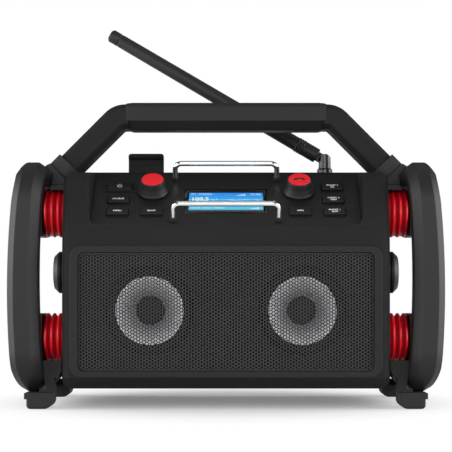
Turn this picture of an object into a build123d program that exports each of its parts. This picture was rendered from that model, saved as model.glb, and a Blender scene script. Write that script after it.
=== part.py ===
from build123d import *
import math
import os

# Jobsite radio: a speaker box that hangs on four rubber bellows between two side
# guards, with a carrying handle over it. Millimetres, +Z up, front towards -Y,
# origin on the floor at the middle of the guards.

# ---- radio body: grille and the frame round it
BODY_BOTTOM = 20.0
GRILLE_HALF = 149.6
GRILLE_HEIGHT = 120.0
GRILLE_RISE = 18.0  # grille above the body's bottom
GRILLE_BOTTOM = BODY_BOTTOM + GRILLE_RISE
GRILLE_TOP = GRILLE_BOTTOM + GRILLE_HEIGHT
GRILLE_R = 6.5
GRILLE_SHEET = 1.0
GRILLE_SINK = 1.1  # front of the grille behind the front of the shell
BEZEL_SIDE = 8.4  # width of the frame at the sides, below and above
BEZEL_UNDER = 6.5
BEZEL_OVER = 7.3
BEZEL_HALF = GRILLE_HALF + BEZEL_SIDE
BEZEL_BOTTOM = GRILLE_BOTTOM - BEZEL_UNDER
BEZEL_TOP = GRILLE_TOP + BEZEL_OVER
BEZEL_R = 12.0
BEZEL_PROUD = 1.5
BEZEL_EDGE = 1.0
BEZEL_SLEEVE = 1.8

# ---- radio body: shells
GUARD_DEPTH = 215.0  # front to back of the side guards, the deepest piece
BODY_SIDE = 8.0  # side of the body beyond the grille's frame
BODY_HALF = BEZEL_HALF + BODY_SIDE
BODY_INSET = 3.0  # front of the body behind the front of the guards
BODY_REAR_INSET = 15.0
BODY_FRONT = BODY_INSET - GUARD_DEPTH / 2
BODY_REAR = GUARD_DEPTH / 2 - BODY_REAR_INSET
BODY_TOE = 11.0  # bevel along the bottom of the front
BODY_LEAN_START = 8.0  # the front leans back from here, below the grille's top
BODY_LEAN_Z = GRILLE_TOP - BODY_LEAN_START
BODY_LEAN = 19.0
PANEL_ABOVE = 20.1  # crease of the control panel above the grille's frame
PANEL_Z = BEZEL_TOP + PANEL_ABOVE
PANEL_RISE = 59.6
PANEL_BACK = 82.0  # top edge of the panel behind the front of the body
BODY_TOP = PANEL_Z + PANEL_RISE
PANEL_TOP_Y = BODY_FRONT + PANEL_BACK
SHOULDER_DROP = 10.0
SHOULDER_TOP_DROP = 4.5
SHOULDER_Z = BODY_TOP - SHOULDER_DROP
SHOULDER_TOP_Z = BODY_TOP - SHOULDER_TOP_DROP
SHOULDER_RUN = 6.5
REAR_SHELL_DEPTH = 58.5
PARTING_Y = BODY_REAR - REAR_SHELL_DEPTH
WALL = 3.5
BODY_EDGE_R = 9.0
BODY_REAR_R = 14.0
BOSS_R = 5.0
BOSS_SINK = 1.0  # how far a boss runs into the side wall
BOSS_RISE = 18.0  # upper bosses above the grille's top
BOSS_Z = (GRILLE_BOTTOM, GRILLE_TOP + BOSS_RISE)
BOSS_LENGTH = 94.0  # from a boss's front end to the parting
SCREW_R = 1.8
SCREW_HEAD_R = 3.6
SCREW_HEAD_T = 3.0
SCREW_HEAD_SINK = 1.0
SCREW_GRIP = 18.0  # how far a shell screw runs into the front boss
SCREW_TIP = 2.0  # bore beyond the screw's end
FIT = 0.05  # close fit between two fixed pieces
SLIP = 0.2  # easy fit between two fixed pieces
SOFT_GAP = 0.3  # between a soft face and what it seats on
RUN_FIT = 0.08  # radial clearance of a turning fit

# ---- cage: bellows
BELLOWS_LENGTH = 29.0  # from the body's side to a guard's pad
BELLOWS_R = 26.5  # ridges
BELLOWS_ROOT_R = 22.5  # grooves
BELLOWS_RIDGES = 4
BELLOWS_CREST = 0.8  # flat on a ridge
BELLOWS_BOLT_R = 3.0
BELLOWS_BOLT_GRIP = 8.0  # how far a bolt runs into the rubber
BELLOWS_BOLT_HEAD_R = 6.5
BELLOWS_BOLT_HEAD_T = 3.0

# ---- cage: side guards
PAD_IN_X = BODY_HALF + BELLOWS_LENGTH  # inner face of the bellows pads
PAD_T = 8.0
PAD_SIZE = 52.0
GUARD_BULGE = 26.0  # widest place of the guard outside its pads
GUARD_WAIST = 4.5  # its inner face inside the pads, half-way up
GUARD_FLARE = 11.5  # and at its top and bottom
GUARD_OUT_X = PAD_IN_X + GUARD_BULGE
GUARD_IN_X = PAD_IN_X - GUARD_WAIST
GUARD_END_X = PAD_IN_X - GUARD_FLARE
GUARD_UNDER = 6.5  # guard below the body
GUARD_OVER = 7.0  # guard above the body
GUARD_BOTTOM = BODY_BOTTOM - GUARD_UNDER
GUARD_TOP = BODY_TOP + GUARD_OVER
GUARD_CORNER_R = 45.0  # outer corner, seen from the side
GUARD_BAR = 28.0  # front bar, front to back
GUARD_ARM = 20.5  # top and bottom arm, in height
GUARD_HOLE_R = 22.0
GUARD_TOE_IN = 14.0  # outer face, drawn in at the bottom
GUARD_TOE_Z = 27.0  # height over which it is drawn in
GUARD_TOE_MID_IN = 7.5
GUARD_TOE_MID_Z = 12.0
GUARD_BELLY_IN = 3.0  # start of the bow, inside the widest place
GUARD_BELLY_Z = 82.5  # widest place, above the bottom
GUARD_NECK_IN = 4.0  # outer face where the bow ends
GUARD_NECK_Z = 42.0  # end of the bow, below the top
GUARD_BEVEL = 14.4  # height of the flat bevel at the top of the outer face
GUARD_BEVEL_START = 7.7  # outer face where the bevel starts
GUARD_BEVEL_END = 16.3  # and where it ends, on the top
GUARD_CHAMFER_IN = 9.0
GUARD_CHAMFER_OUT = 7.0
GUARD_REAR_LOW = 76.5  # the back of the guard is open above this height over its bottom
GUARD_REAR_HIGH = 70.0  # and below this depth under its top
GUARD_REAR_R = 10.0
LOWER_BELLOWS = 55.3  # above the guard's bottom
UPPER_BELLOWS = 48.8  # below the guard's top
BELLOWS_Z = (GUARD_BOTTOM + LOWER_BELLOWS, GUARD_TOP - UPPER_BELLOWS)

# ---- cage: feet
FOOT_INSIDE = 19.6  # inner side of the foot inside the pads
FOOT_OUTSIDE = 6.3
FOOT_IN_X = PAD_IN_X - FOOT_INSIDE
FOOT_OUT_X = PAD_IN_X + FOOT_OUTSIDE
FOOT_LIP = 2.0
FOOT_LIP_Z = 10.0
FOOT_WRAP = 2.5  # foot above the guard's bottom
FOOT_TOP = GUARD_BOTTOM + FOOT_WRAP
FOOT_LENGTH = 40.0
FOOT_END_GAP = 2.5  # from the guard's front or back face to the foot
FOOT_CORNER_R = 8.0  # inner bottom corner
FOOT_EDGE_R = 4.0  # outer bottom corner
FOOT_NOSE_R = 3.0  # bottom edge at the front and the back of the guard
FOOT_GROOVES = 5
FOOT_GROOVE_W = 2.5
FOOT_GROOVE_DEPTH = 2.5
STRUT_WRAP = 34.0  # strut above the guard's bottom
STRUT_TOP = GUARD_BOTTOM + STRUT_WRAP
STRUT_SHELF = 7.4  # upper part of the strut inside the foot
STRUT_SHELF_Z = 10.0  # height of its straight inner side
STRUT_LENGTH = 20.0

# ---- cage: handle, with legs at 45 degrees
HANDLE_LEG = 26.3  # leg, across it in the front view
HANDLE_DEPTH = 40.0
LEG_INSIDE = 18.87  # foot of the leg's middle line inside the pads
LEG_DROP = 7.97  # and below the guard's top
LEG_FOOT_X = PAD_IN_X - LEG_INSIDE
LEG_FOOT_Z = GUARD_TOP - LEG_DROP
HANDLE_RISE = 66.55
HANDLE_TOP = GUARD_TOP + HANDLE_RISE
HANDLE_BEND_OUT_R = 30.0
HANDLE_BEND_IN_R = 3.0
HANDLE_CHAMFER = 5.0
HANDLE_WALL = 3.0
GRIP_INSET = 2.5  # from the inner bend of the handle to the end of the grip
GRIP_SKIN = 1.35
GRIP_EDGE = 1.5
GRIP_CHAMFER = 6.0
COLLAR_LENGTH = 14.0
COLLAR_WALL = 2.4
BRACKET_INSIDE = 26.0
BRACKET_IN_X = PAD_IN_X - BRACKET_INSIDE
BRACKET_DROP = 26.0
BRACKET_BOTTOM = GUARD_TOP - BRACKET_DROP
BRACKET_HALF_DEPTH = 24.0
BRACKET_EDGE = 4.0
BRACKET_LIP = 6.0  # height of the lip round its foot
BRACKET_SINK = 2.0  # front and back faces above the lip, behind it
BRACKET_STEP = 3.0  # its upper edge above the guard's top
LEG_GAP = 6.0  # between the handle's legs and the body, for the bellows to give

# ---- radio body: speakers
BAFFLE_T = 6.0
BAFFLE_LAP = 3.0
SPEAKER_INSET = 72.2  # speaker's axis from the grille's side
SPEAKER_RAISE = 1.0  # above the middle of the grille
SPEAKER_X = GRILLE_HALF - SPEAKER_INSET
SPEAKER_Z = (GRILLE_BOTTOM + GRILLE_TOP) / 2 + SPEAKER_RAISE
SPEAKER_HOLE_R = 47.0
SPEAKER_FRAME_LAP = 6.0  # basket's rim beyond the hole
SPEAKER_FRAME_R = SPEAKER_HOLE_R + SPEAKER_FRAME_LAP
SPEAKER_FRAME_T = 3.0
SURROUND_GAP = 0.5
SURROUND_OUT_R = SPEAKER_HOLE_R - SURROUND_GAP
SURROUND_WIDTH = 11.5
SURROUND_T = 1.0
SURROUND_FLAT = 3.0
SURROUND_ROLL = 3.0
CONE_R = SURROUND_OUT_R - SURROUND_WIDTH
CONE_NECK_R = 14.0
CONE_DEPTH = 17.0
CONE_T = 0.8
CONE_SINK = 1.0  # front edge of the cone, in front of the baffle's back
CONE_NECK = 14.0  # length of the voice coil's former
CONE_TRAVEL = 1.5
CAP_DOME = 5.0  # height of the dust cap
BASKET_WALL = 2.0
BASKET_NECK_R = 24.0
COIL_GAP = 3.0  # round the voice coil's former
MAGNET_R = 32.0
MAGNET_LID = 12.0  # back plate and pole behind the former

# ---- radio body: control panel
PANEL_SIDE = 28.3  # from the body's side to the panel
PANEL_HALF = BODY_HALF - PANEL_SIDE
PANEL_T = 3.0
PANEL_R = 8.0
PANEL_DRAFT = 5.0
PANEL_LIP = 3.0  # ledge of the shell that the panel lies on
PANEL_RIM = 0.8  # rim of the shell at the panel's front and back edge
KEY_INSET = 26.7  # outer keys from the panel's side
KEY_X = PANEL_HALF - KEY_INSET
KEY_ROWS = (23.2, 45.2, 68.8)
KEY_W = 22.4
KEY_D = 12.2
KEY_H = 3.0
KEY_GAP = 0.2
KEY_FLANGE = 1.0
KEY_EDGE = 0.6
KEY_TRAVEL = 0.8
POWER_KEY_W = 26.0
POWER_RIM_T = 1.4
POWER_RIM_H = 1.8
KNOB_INSET = 35.0  # from the outer keys to the knobs
KNOB_X = KEY_X - KNOB_INSET
KNOB_S = 60.8
KNOB_R = 16.4
KNOB_TOP_R = 12.2
KNOB_H = 14.8
KNOB_SKIRT = 1.6  # straight part of the skirt
KNOB_EDGE = 0.8
KNOB_GAP = 0.9
KNOB_SHAFT_R = 4.0
CAP_WALL = 0.8
CAP_R = KNOB_TOP_R - CAP_WALL
CAP_T = 2.6
CAP_PROUD = 0.6
CAP_EDGE = 0.4
CAP_STEM_R = 2.0
CAP_TRAVEL = 1.0
PRESS_ROOM = 0.2  # left below a pressed cap
ROD_INSET = 22.7  # from a knob to the nearest foot of a rod
ROD_X = KNOB_X - ROD_INSET
ROD_R = 2.75
ROD_H = 20.5
ROD_BEND_R = 7.0
LOWER_ROD = 8.3  # above the panel's crease
UPPER_ROD = 14.8  # below the panel's top edge
ROD_TAIL = 7.0
FERRULE_R = 3.4
FERRULE_H = 5.0
FERRULE_EDGE_R = 0.4
WINDOW_INSET = 10.3  # from a rod's foot to the window
WINDOW_HALF = ROD_X - WINDOW_INSET
WINDOW_S = (22.0, 66.0)
WINDOW_T = 1.2
WINDOW_SINK = 1.2
DISPLAY_MARGIN = 3.0
BOARD_DROP = 9.0  # control board below the panel's face
BOARD_T = 1.6
BOARD_MARGIN = 6.0
SWITCH_SIZE = 6.0
ENCODER_SIZE = 13.0
ENCODER_DROP = 4.4  # encoder below the board

# ---- radio body: back
DOOR_INSET = 74.8  # middle of the door from the body's side
DOOR_X = DOOR_INSET - BODY_HALF
DOOR_HALF = 40.0
DOOR_RISE = 54.0  # door above the body's bottom
DOOR_DROP = 21.0  # and below its top
DOOR_Z = (BODY_BOTTOM + DOOR_RISE, BODY_TOP - DOOR_DROP)
DOOR_T = 3.5
DOOR_GAP = 0.4
DOOR_FOOT = 6.0  # height of the door's hinge web
PACK_GAP = 2.0  # battery pack to the well's sides and the door
PACK_R = 6.0
BATTERY_WALL = 2.5
BATTERY_DEPTH = 42.0
BARREL_R = 3.2
PIN_R = 1.3
EAR_W = 9.0
BARREL_GAP = 0.6  # from the hinge barrel to the edge of its opening
LATCH_EAR_W = 5.0
LATCH_HALF = 20.1
LATCH_T = 3.2
LATCH_PIVOT = 14.0  # above the door
LATCH_TAB = 38.0
LATCH_PIVOT_Z = DOOR_Z[1] + LATCH_PIVOT
LATCH_TOP = LATCH_PIVOT_Z + LATCH_TAB
LATCH_LIP_R = 3.4
LATCH_FOOT = 0.8  # above the door
SOCKET_INSET = 46.0  # recess of the sockets from the body's side
SOCKET_WIDTH = 60.0
SOCKET_X = (BODY_HALF - SOCKET_INSET - SOCKET_WIDTH, BODY_HALF - SOCKET_INSET)
SOCKET_RISE = 35.0
SOCKET_HEIGHT = 25.0
SOCKET_Z = (BODY_BOTTOM + SOCKET_RISE, BODY_BOTTOM + SOCKET_RISE + SOCKET_HEIGHT)
SOCKET_R = 4.0
SOCKET_DEPTH = 8.0
SOCKET_PLATE_T = 2.5
SOCKET_WALL = 2.0
SOCKET_MARGIN = 14.0  # from the recess's end to a socket
FLAP_LAP = 5.0
FLAP_T = 2.4
INLET_R = 2.75
INLET_OUT_R = 5.5
INLET_LENGTH = 12.0
INLET_WALL = 2.0  # closed end of a socket
LINE_JACK_R = 1.8
LINE_JACK_OUT_R = 4.5

# ---- radio body: sides, inside
BUFFER_R = 22.4
BUFFER_RISE = 119.0
BUFFER_Z = BODY_BOTTOM + BUFFER_RISE
BUFFER_GUARD = 10.5  # from the buffer to the guard's pads
BUFFER_T = BELLOWS_LENGTH - BUFFER_GUARD
BUFFER_EDGE_R = 5.0
AMP_SIZE = (150.0, 70.0)
AMP_BACK = 89.5  # middle of the amplifier board behind the front of the body
AMP_Y = BODY_FRONT + AMP_BACK
AMP_POST_H = 6.0
AMP_POST_R = 4.0
AMP_POST_INSET = 8.0
HEATSINK = (90.0, 22.0, 26.0)
HEATSINK_BASE = 4.0
HEATSINK_FINS = 8
HEATSINK_FIN_T = 2.0

# ---- antenna
ANTENNA_INSET = 56.0  # from the body's side
ANTENNA_BEHIND = 18.5  # behind the parting of the shells
ANTENNA_X = BODY_HALF - ANTENNA_INSET
ANTENNA_Y = PARTING_Y + ANTENNA_BEHIND
ANTENNA_BASE_R = 8.5
ANTENNA_BASE_H = 10.0
ANTENNA_SPIGOT_R = 4.0
ANTENNA_NUT = 3.0  # spigot below the top wall
ANTENNA_FLOOR = 3.0  # closed bottom of the bush
ANTENNA_EDGE = 1.0
ELBOW_RISE = 9.3  # above the bush
ELBOW_Z = BODY_TOP + ANTENNA_BASE_H + ELBOW_RISE
ELBOW_PIN_R = 2.0
YOKE_R = 7.0
YOKE_SLOT = 5.0
PIN_INSET = 0.4  # pin's ends below the fork's sides
TONGUE_GAP = 0.2  # each side of the tongue
TONGUE_T = YOKE_SLOT - 2 * TONGUE_GAP
TONGUE_INSET = 1.6  # tongue inside the fork's outline
TONGUE_GRIP = 3.0  # tongue inside the whip
WHIP_TILT = 30.4
WHIP_LENGTH = 277.0
WHIP_START = 10.0
WHIP_R = 8.1
WHIP_TIP_R = 7.2
WHIP_RINGS = (28.0, 31.0, 34.0)
RING_H = 0.5
RING_W = 1.8
WHIP_GROOVE = 12.0  # groove below the tip
WHIP_EDGE = 0.8
WHIP_TIP_EDGE = 2.0


# ---------------------------------------------------------------- helpers
FAR = 2 * GUARD_OUT_X  # beyond every piece
BEYOND = 1.0  # how far a cut runs past a face
TOUCH = 0.01  # how near a face an edge lies that belongs to it


def block(x, y, z):
    """Box between the low and high values of x, y and z."""
    size = Box(x[1] - x[0], y[1] - y[0], z[1] - z[0])
    return Pos((x[0] + x[1]) / 2, (y[0] + y[1]) / 2, (z[0] + z[1]) / 2) * size


def front_plate(sketch, y_front, y_back):
    """Prism of a sketch drawn in the front view (x, z)."""
    return Pos(0, y_back, 0) * extrude(Plane.XZ * sketch, y_back - y_front)


def side_plate(sketch, x_low, x_high):
    """Prism of a sketch drawn in the side view (y, z)."""
    return Pos(x_low, 0, 0) * extrude(Plane.YZ * sketch, x_high - x_low)


def rounded(x, z, r):
    """Rounded rectangle between low and high values."""
    return Pos((x[0] + x[1]) / 2, (z[0] + z[1]) / 2) * RectangleRounded(x[1] - x[0], z[1] - z[0], r)


def rod_x(r, x, y, z):
    """Cylinder along x."""
    return Pos((x[0] + x[1]) / 2, y, z) * Rot(0, 90, 0) * Cylinder(r, x[1] - x[0])


def rod_y(r, x, y, z):
    """Cylinder along y."""
    return Pos(x, (y[0] + y[1]) / 2, z) * Rot(90, 0, 0) * Cylinder(r, y[1] - y[0])


def rod_z(r, x, y, z):
    """Cylinder along z."""
    return Pos(x, y, (z[0] + z[1]) / 2) * Cylinder(r, z[1] - z[0])


def left_of(shape):
    """Mirror image of a right-hand piece."""
    return mirror(shape, Plane.YZ)


def save(name, shape):
    export_step(shape, f"parts/{name}.step")


# ---------------------------------------------------------------- cage
GUARD_MID_Z = (GUARD_TOP + GUARD_BOTTOM) / 2
GUARD_HEIGHT = GUARD_TOP - GUARD_BOTTOM
GUARD_SPAN = (GUARD_END_X - 5 * BEYOND, GUARD_OUT_X + 5 * BEYOND)


def guard_ring(shrink, r):
    """Rounded outline of the guard in the side view."""
    size = RectangleRounded(GUARD_DEPTH - 2 * shrink, GUARD_HEIGHT - 2 * shrink, r)
    return Pos(0, GUARD_MID_Z) * size


def guard_bow():
    """Front view of the right guard: bowed outwards, bevelled at the top."""
    top = GUARD_TOP
    low = GUARD_BOTTOM
    out = GUARD_OUT_X
    toe = (out - GUARD_TOE_IN, low)
    toe_arc = (out - GUARD_TOE_MID_IN, low + GUARD_TOE_MID_Z)
    belly = (out - GUARD_BELLY_IN, low + GUARD_TOE_Z)
    neck = (out - GUARD_NECK_IN, top - GUARD_NECK_Z)
    bevel = (out - GUARD_BEVEL_START, top - GUARD_BEVEL)
    shoulder = (out - GUARD_BEVEL_END, top)
    with BuildSketch() as face:
        with BuildLine():
            ThreePointArc(toe, toe_arc, belly)
            ThreePointArc(belly, (out, low + GUARD_BELLY_Z), neck)
            Line(neck, bevel)
            Line(bevel, shoulder)
            Line(shoulder, (GUARD_END_X, top))
            ThreePointArc((GUARD_END_X, top), (GUARD_IN_X, GUARD_MID_Z), (GUARD_END_X, low))
            Line((GUARD_END_X, low), toe)
        make_face()
    return face.sketch


def guard_blank():
    """Right guard before its rim is bevelled."""
    disc = side_plate(guard_ring(0, GUARD_CORNER_R), *GUARD_SPAN)
    return disc & front_plate(guard_bow(), -GUARD_DEPTH, GUARD_DEPTH)


def rim_edges(shape, inner):
    """Edges of the guard's outer rim, on its inner or its outer side."""
    half_y = GUARD_DEPTH / 2 - GUARD_CORNER_R
    half_z = GUARD_HEIGHT / 2 - GUARD_CORNER_R

    def off_rim(p):
        y = abs(p.Y) - half_y
        z = abs(p.Z - GUARD_MID_Z) - half_z
        if y < 0 or z < 0:
            return max(y, z) - GUARD_CORNER_R
        return math.hypot(y, z) - GUARD_CORNER_R

    middle_x = (GUARD_END_X + GUARD_OUT_X - GUARD_BEVEL_END) / 2
    chosen = []
    for edge in shape.edges():
        points = [edge @ t for t in (0.1, 0.5, 0.9)]
        if any(abs(off_rim(p)) > 5 * TOUCH for p in points):
            continue
        run = points[0] - points[2]
        if abs(run.Y) + abs(run.Z) < abs(run.X):
            continue
        on_bevel = points[1].X > middle_x and points[1].Z > GUARD_TOP - GUARD_BEVEL
        if (points[1].X < middle_x) == inner and not on_bevel:
            chosen.append(edge)
    return chosen


def guard_disc():
    """Right guard with its bevelled rim, before its opening is cut."""
    body = guard_blank()
    body = chamfer(rim_edges(body, False), GUARD_CHAMFER_OUT)
    return chamfer(rim_edges(body, True), GUARD_CHAMFER_IN)


def guard_body():
    """Right guard without its pads."""
    body = guard_disc()
    hole = Pos(0, GUARD_MID_Z) * RectangleRounded(
        GUARD_DEPTH - 2 * GUARD_BAR, GUARD_HEIGHT - 2 * GUARD_ARM, GUARD_HOLE_R
    )
    body -= side_plate(hole, *GUARD_SPAN)
    rear = GUARD_DEPTH / 2
    slot_y = (rear - GUARD_BAR - GUARD_REAR_R - BEYOND, rear + GUARD_BAR)
    slot_z = (GUARD_BOTTOM + GUARD_REAR_LOW, GUARD_TOP - GUARD_REAR_HIGH)
    slot = rounded(slot_y, slot_z, GUARD_REAR_R)
    return body - side_plate(slot, *GUARD_SPAN)


def guard():
    """Right guard: bar, arms, and a pad for each bellows."""
    body = guard_body()
    pad_x = (PAD_IN_X, PAD_IN_X + PAD_T)
    half = PAD_SIZE / 2
    low, high = BELLOWS_Z
    body += block(pad_x, (-half, half), (GUARD_BOTTOM + GUARD_ARM / 2, low + half))
    body += block(pad_x, (-half, half), (high - half, GUARD_TOP - GUARD_ARM / 2))
    for z in BELLOWS_Z:
        body -= rod_x(BELLOWS_BOLT_R + FIT, pad_x, 0, z)
    return body


def bellows(z):
    """Right-hand rubber bellows: ridges and grooves round a bore."""
    x0 = BODY_HALF + SOFT_GAP
    x1 = PAD_IN_X - SOFT_GAP
    pitch = (x1 - x0) / BELLOWS_RIDGES
    body = rod_x(BELLOWS_ROOT_R, (x0, x1), 0, z)
    rise = BELLOWS_R - BELLOWS_ROOT_R
    for i in range(BELLOWS_RIDGES):
        middle = x0 + (i + 0.5) * pitch
        ridge = rod_x(BELLOWS_R, (middle - pitch / 2, middle + pitch / 2), 0, z)
        rims = [e for e in ridge.edges() if e.geom_type == GeomType.CIRCLE]
        body += chamfer(rims, (pitch - BELLOWS_CREST) / 2, rise)
    return body - rod_x(BELLOWS_BOLT_R + FIT, (x0 - BEYOND, x1 + BEYOND), 0, z)


def bellows_bolts():
    """One bolt through each bellows pad, its head on the pad's outer face."""
    bolts = []
    for z in BELLOWS_Z:
        tip_x = PAD_IN_X - BELLOWS_BOLT_GRIP
        head_x = PAD_IN_X + PAD_T
        bolt = rod_x(BELLOWS_BOLT_R, (tip_x, head_x), 0, z)
        bolt += rod_x(BELLOWS_BOLT_HEAD_R, (head_x, head_x + BELLOWS_BOLT_HEAD_T), 0, z)
        bolts += [bolt, left_of(bolt)]
    return Compound(children=bolts)


def foot_section():
    """Front view of the right foot: rounded below, with a lip under the guard's outer face."""
    lip_x = FOOT_OUT_X + FOOT_LIP
    with BuildSketch() as face:
        with BuildLine():
            Line((FOOT_IN_X + FOOT_CORNER_R, 0), (FOOT_OUT_X - FOOT_EDGE_R, 0))
            RadiusArc((FOOT_OUT_X - FOOT_EDGE_R, 0), (FOOT_OUT_X, FOOT_EDGE_R), -FOOT_EDGE_R)
            Polyline(
                (FOOT_OUT_X, FOOT_EDGE_R),
                (FOOT_OUT_X, FOOT_LIP_Z),
                (lip_x, FOOT_LIP_Z),
                (lip_x, FOOT_TOP),
                (FOOT_IN_X, FOOT_TOP),
                (FOOT_IN_X, FOOT_CORNER_R),
            )
            RadiusArc((FOOT_IN_X, FOOT_CORNER_R), (FOOT_IN_X + FOOT_CORNER_R, 0), -FOOT_CORNER_R)
        make_face()
    return face.sketch


def strut_section():
    """Front view of the right strut: it widens towards the body over a 45 degree step."""
    shelf_x = FOOT_IN_X - STRUT_SHELF
    shelf_z = STRUT_TOP - STRUT_SHELF_Z
    outline = Polyline(
        (FOOT_IN_X, FOOT_TOP - BEYOND),
        (FOOT_IN_X, shelf_z - STRUT_SHELF),
        (shelf_x, shelf_z),
        (shelf_x, STRUT_TOP),
        (GUARD_IN_X, STRUT_TOP),
        (GUARD_IN_X, FOOT_TOP - BEYOND),
        close=True,
    )
    return make_face(outline)


def foot_groove(y):
    """Tread groove round the inner bottom corner of the right foot."""
    middle_x = FOOT_IN_X + FOOT_CORNER_R
    span = (y, y + FOOT_GROOVE_W)
    groove = block((FOOT_IN_X - BEYOND, middle_x), span, (-BEYOND, FOOT_CORNER_R))
    return groove - rod_y(FOOT_CORNER_R - FOOT_GROOVE_DEPTH, middle_x, span, FOOT_CORNER_R)


def foot(front):
    """Right-hand rubber foot under one end of the guard, with its strut inboard."""
    far = GUARD_DEPTH / 2 - FOOT_END_GAP
    y = (-far, -far + FOOT_LENGTH)
    body = front_plate(foot_section(), *y)
    low = [e for e in body.edges() if abs((e @ 0.5).Y + far) < TOUCH and (e @ 0.5).Z < TOUCH]
    body = fillet(low, FOOT_NOSE_R)
    body += front_plate(strut_section(), y[1] - STRUT_LENGTH, y[1])
    seat = side_plate(guard_ring(-FIT, GUARD_CORNER_R + FIT), *GUARD_SPAN)
    body -= front_plate(guard_bow(), -GUARD_DEPTH, GUARD_DEPTH) & seat
    pitch = FOOT_LENGTH / (FOOT_GROOVES + 1)
    for i in range(FOOT_GROOVES):
        body -= foot_groove(y[0] + pitch * (i + 1) - FOOT_GROOVE_W / 2)
    body = body.solids().sort_by(SortBy.VOLUME)[-1]
    return body if front else mirror(body, Plane.XZ)


LEG_SHIFT = HANDLE_LEG / 2 * math.sqrt(2)  # half a leg's width, measured along x or z
HANDLE_AXIS = LEG_FOOT_X + LEG_FOOT_Z  # x + z on the middle line of a leg
COLLAR_FOOT = LEG_FOOT_Z - LEG_FOOT_X  # z - x on the collar's lower face
GRIP_HALF = HANDLE_AXIS - LEG_SHIFT - HANDLE_TOP + HANDLE_LEG - GRIP_INSET


def handle_outline(grow):
    """Front view of the handle: a flat top and two 45 degree legs that end at the brackets."""
    out = HANDLE_AXIS + LEG_SHIFT + grow * math.sqrt(2)
    inn = HANDLE_AXIS - LEG_SHIFT - grow * math.sqrt(2)
    top = HANDLE_TOP + grow
    low = HANDLE_TOP - HANDLE_LEG - grow
    right = [
        (out - top, top),
        ((out - COLLAR_FOOT) / 2, (out + COLLAR_FOOT) / 2),
        ((inn - COLLAR_FOOT) / 2, (inn + COLLAR_FOOT) / 2),
        (inn - low, low),
    ]
    left = [(-x, z) for x, z in reversed(right)]
    face = make_face(Polyline(*right, *left, close=True))
    tops = face.vertices().filter_by(lambda v: v.Y > top - 1)
    face = fillet(tops, HANDLE_BEND_OUT_R + grow)
    lows = face.vertices().filter_by(lambda v: abs(v.Y - low) < 1)
    return fillet(lows, HANDLE_BEND_IN_R)


def handle_solid(grow):
    """Handle tube with bevelled long edges, grown all round by a fit."""
    half = HANDLE_DEPTH / 2 + grow
    body = front_plate(handle_outline(grow), -half, half)
    ends = body.edges().filter_by(lambda e: abs(abs((e @ 0.5).Y) - half) < TOUCH)
    foot_z = (HANDLE_AXIS + LEG_SHIFT + COLLAR_FOOT) / 2
    long_edges = [e for e in ends if (e @ 0.5).Z > foot_z]
    return chamfer(long_edges, HANDLE_CHAMFER)


def handle_tube():
    """Hollow tube, open at its two feet."""
    return handle_solid(0) - handle_solid(-HANDLE_WALL)


def handle_grip():
    """Rubber sleeve over the flat top of the handle."""
    half = HANDLE_DEPTH / 2 + GRIP_SKIN
    low = HANDLE_TOP - HANDLE_LEG - GRIP_SKIN
    body = block((-GRIP_HALF, GRIP_HALF), (-half, half), (low, HANDLE_TOP + GRIP_SKIN))
    body = chamfer(body.edges().filter_by(Axis.X), GRIP_CHAMFER)
    rim = body.edges().filter_by(lambda e: abs(abs((e @ 0.5).X) - GRIP_HALF) < TOUCH)
    body = chamfer(rim, GRIP_EDGE)
    return body - handle_solid(FIT)


def collar():
    """Right-hand collar round the foot of a leg, square to the leg."""
    half = HANDLE_DEPTH / 2 + COLLAR_WALL
    side = (HANDLE_LEG + 2 * COLLAR_WALL) * math.sqrt(2) / 2
    drop = COLLAR_LENGTH * math.sqrt(2)
    corners = []
    for across, along in ((side, 0), (-side, 0), (-side, drop), (side, drop)):
        total = HANDLE_AXIS + across
        lean = COLLAR_FOOT + along
        corners.append(((total - lean) / 2, (total + lean) / 2))
    body = front_plate(make_face(Polyline(*corners, close=True)), -half, half)
    long_edges = body.edges().filter_by(lambda e: abs(abs((e @ 0.5).Y) - half) < TOUCH)
    along_leg = [e for e in long_edges if abs((e % 0.5).X + (e % 0.5).Z) < TOUCH]
    body = chamfer(along_leg, HANDLE_CHAMFER)
    return body - handle_solid(FIT)


def bracket():
    """Right-hand socket block between the guard's top arm and the collar."""
    lip = BRACKET_IN_X + COLLAR_FOOT
    step_z = GUARD_TOP + BRACKET_STEP
    outline = Polyline(
        (BRACKET_IN_X + BRACKET_EDGE, BRACKET_BOTTOM),
        (GUARD_IN_X, BRACKET_BOTTOM),
        (GUARD_END_X + GUARD_CHAMFER_IN, GUARD_TOP),
        (step_z - COLLAR_FOOT, step_z),
        (BRACKET_IN_X, lip),
        (BRACKET_IN_X, BRACKET_BOTTOM + BRACKET_EDGE),
        close=True,
    )
    far = BRACKET_HALF_DEPTH
    body = front_plate(make_face(outline), -far, far)
    face_z = (BRACKET_BOTTOM + BRACKET_LIP, step_z + BEYOND)
    for face_y in ((-far - BEYOND, BRACKET_SINK - far), (far - BRACKET_SINK, far + BEYOND)):
        body -= block((BRACKET_IN_X - BEYOND, GUARD_OUT_X), face_y, face_z)
    body -= guard_disc()
    body -= block((PAD_IN_X, PAD_IN_X + PAD_T), (-PAD_SIZE, PAD_SIZE), (BELLOWS_Z[1], GUARD_TOP))
    body -= rod_x(BELLOWS_R + BEYOND, (BODY_HALF, PAD_IN_X), 0, BELLOWS_Z[1])
    return body.solids().sort_by(SortBy.VOLUME)[-1]


# ---------------------------------------------------------------- radio body: shells
def lean_y(z):
    """Front face of the body at a height above the start of the lean."""
    rise = SHOULDER_Z - BODY_LEAN_Z
    r = (BODY_LEAN**2 + rise**2) / (2 * BODY_LEAN)
    return BODY_FRONT + r - math.sqrt(r**2 - (z - BODY_LEAN_Z) ** 2)


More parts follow.
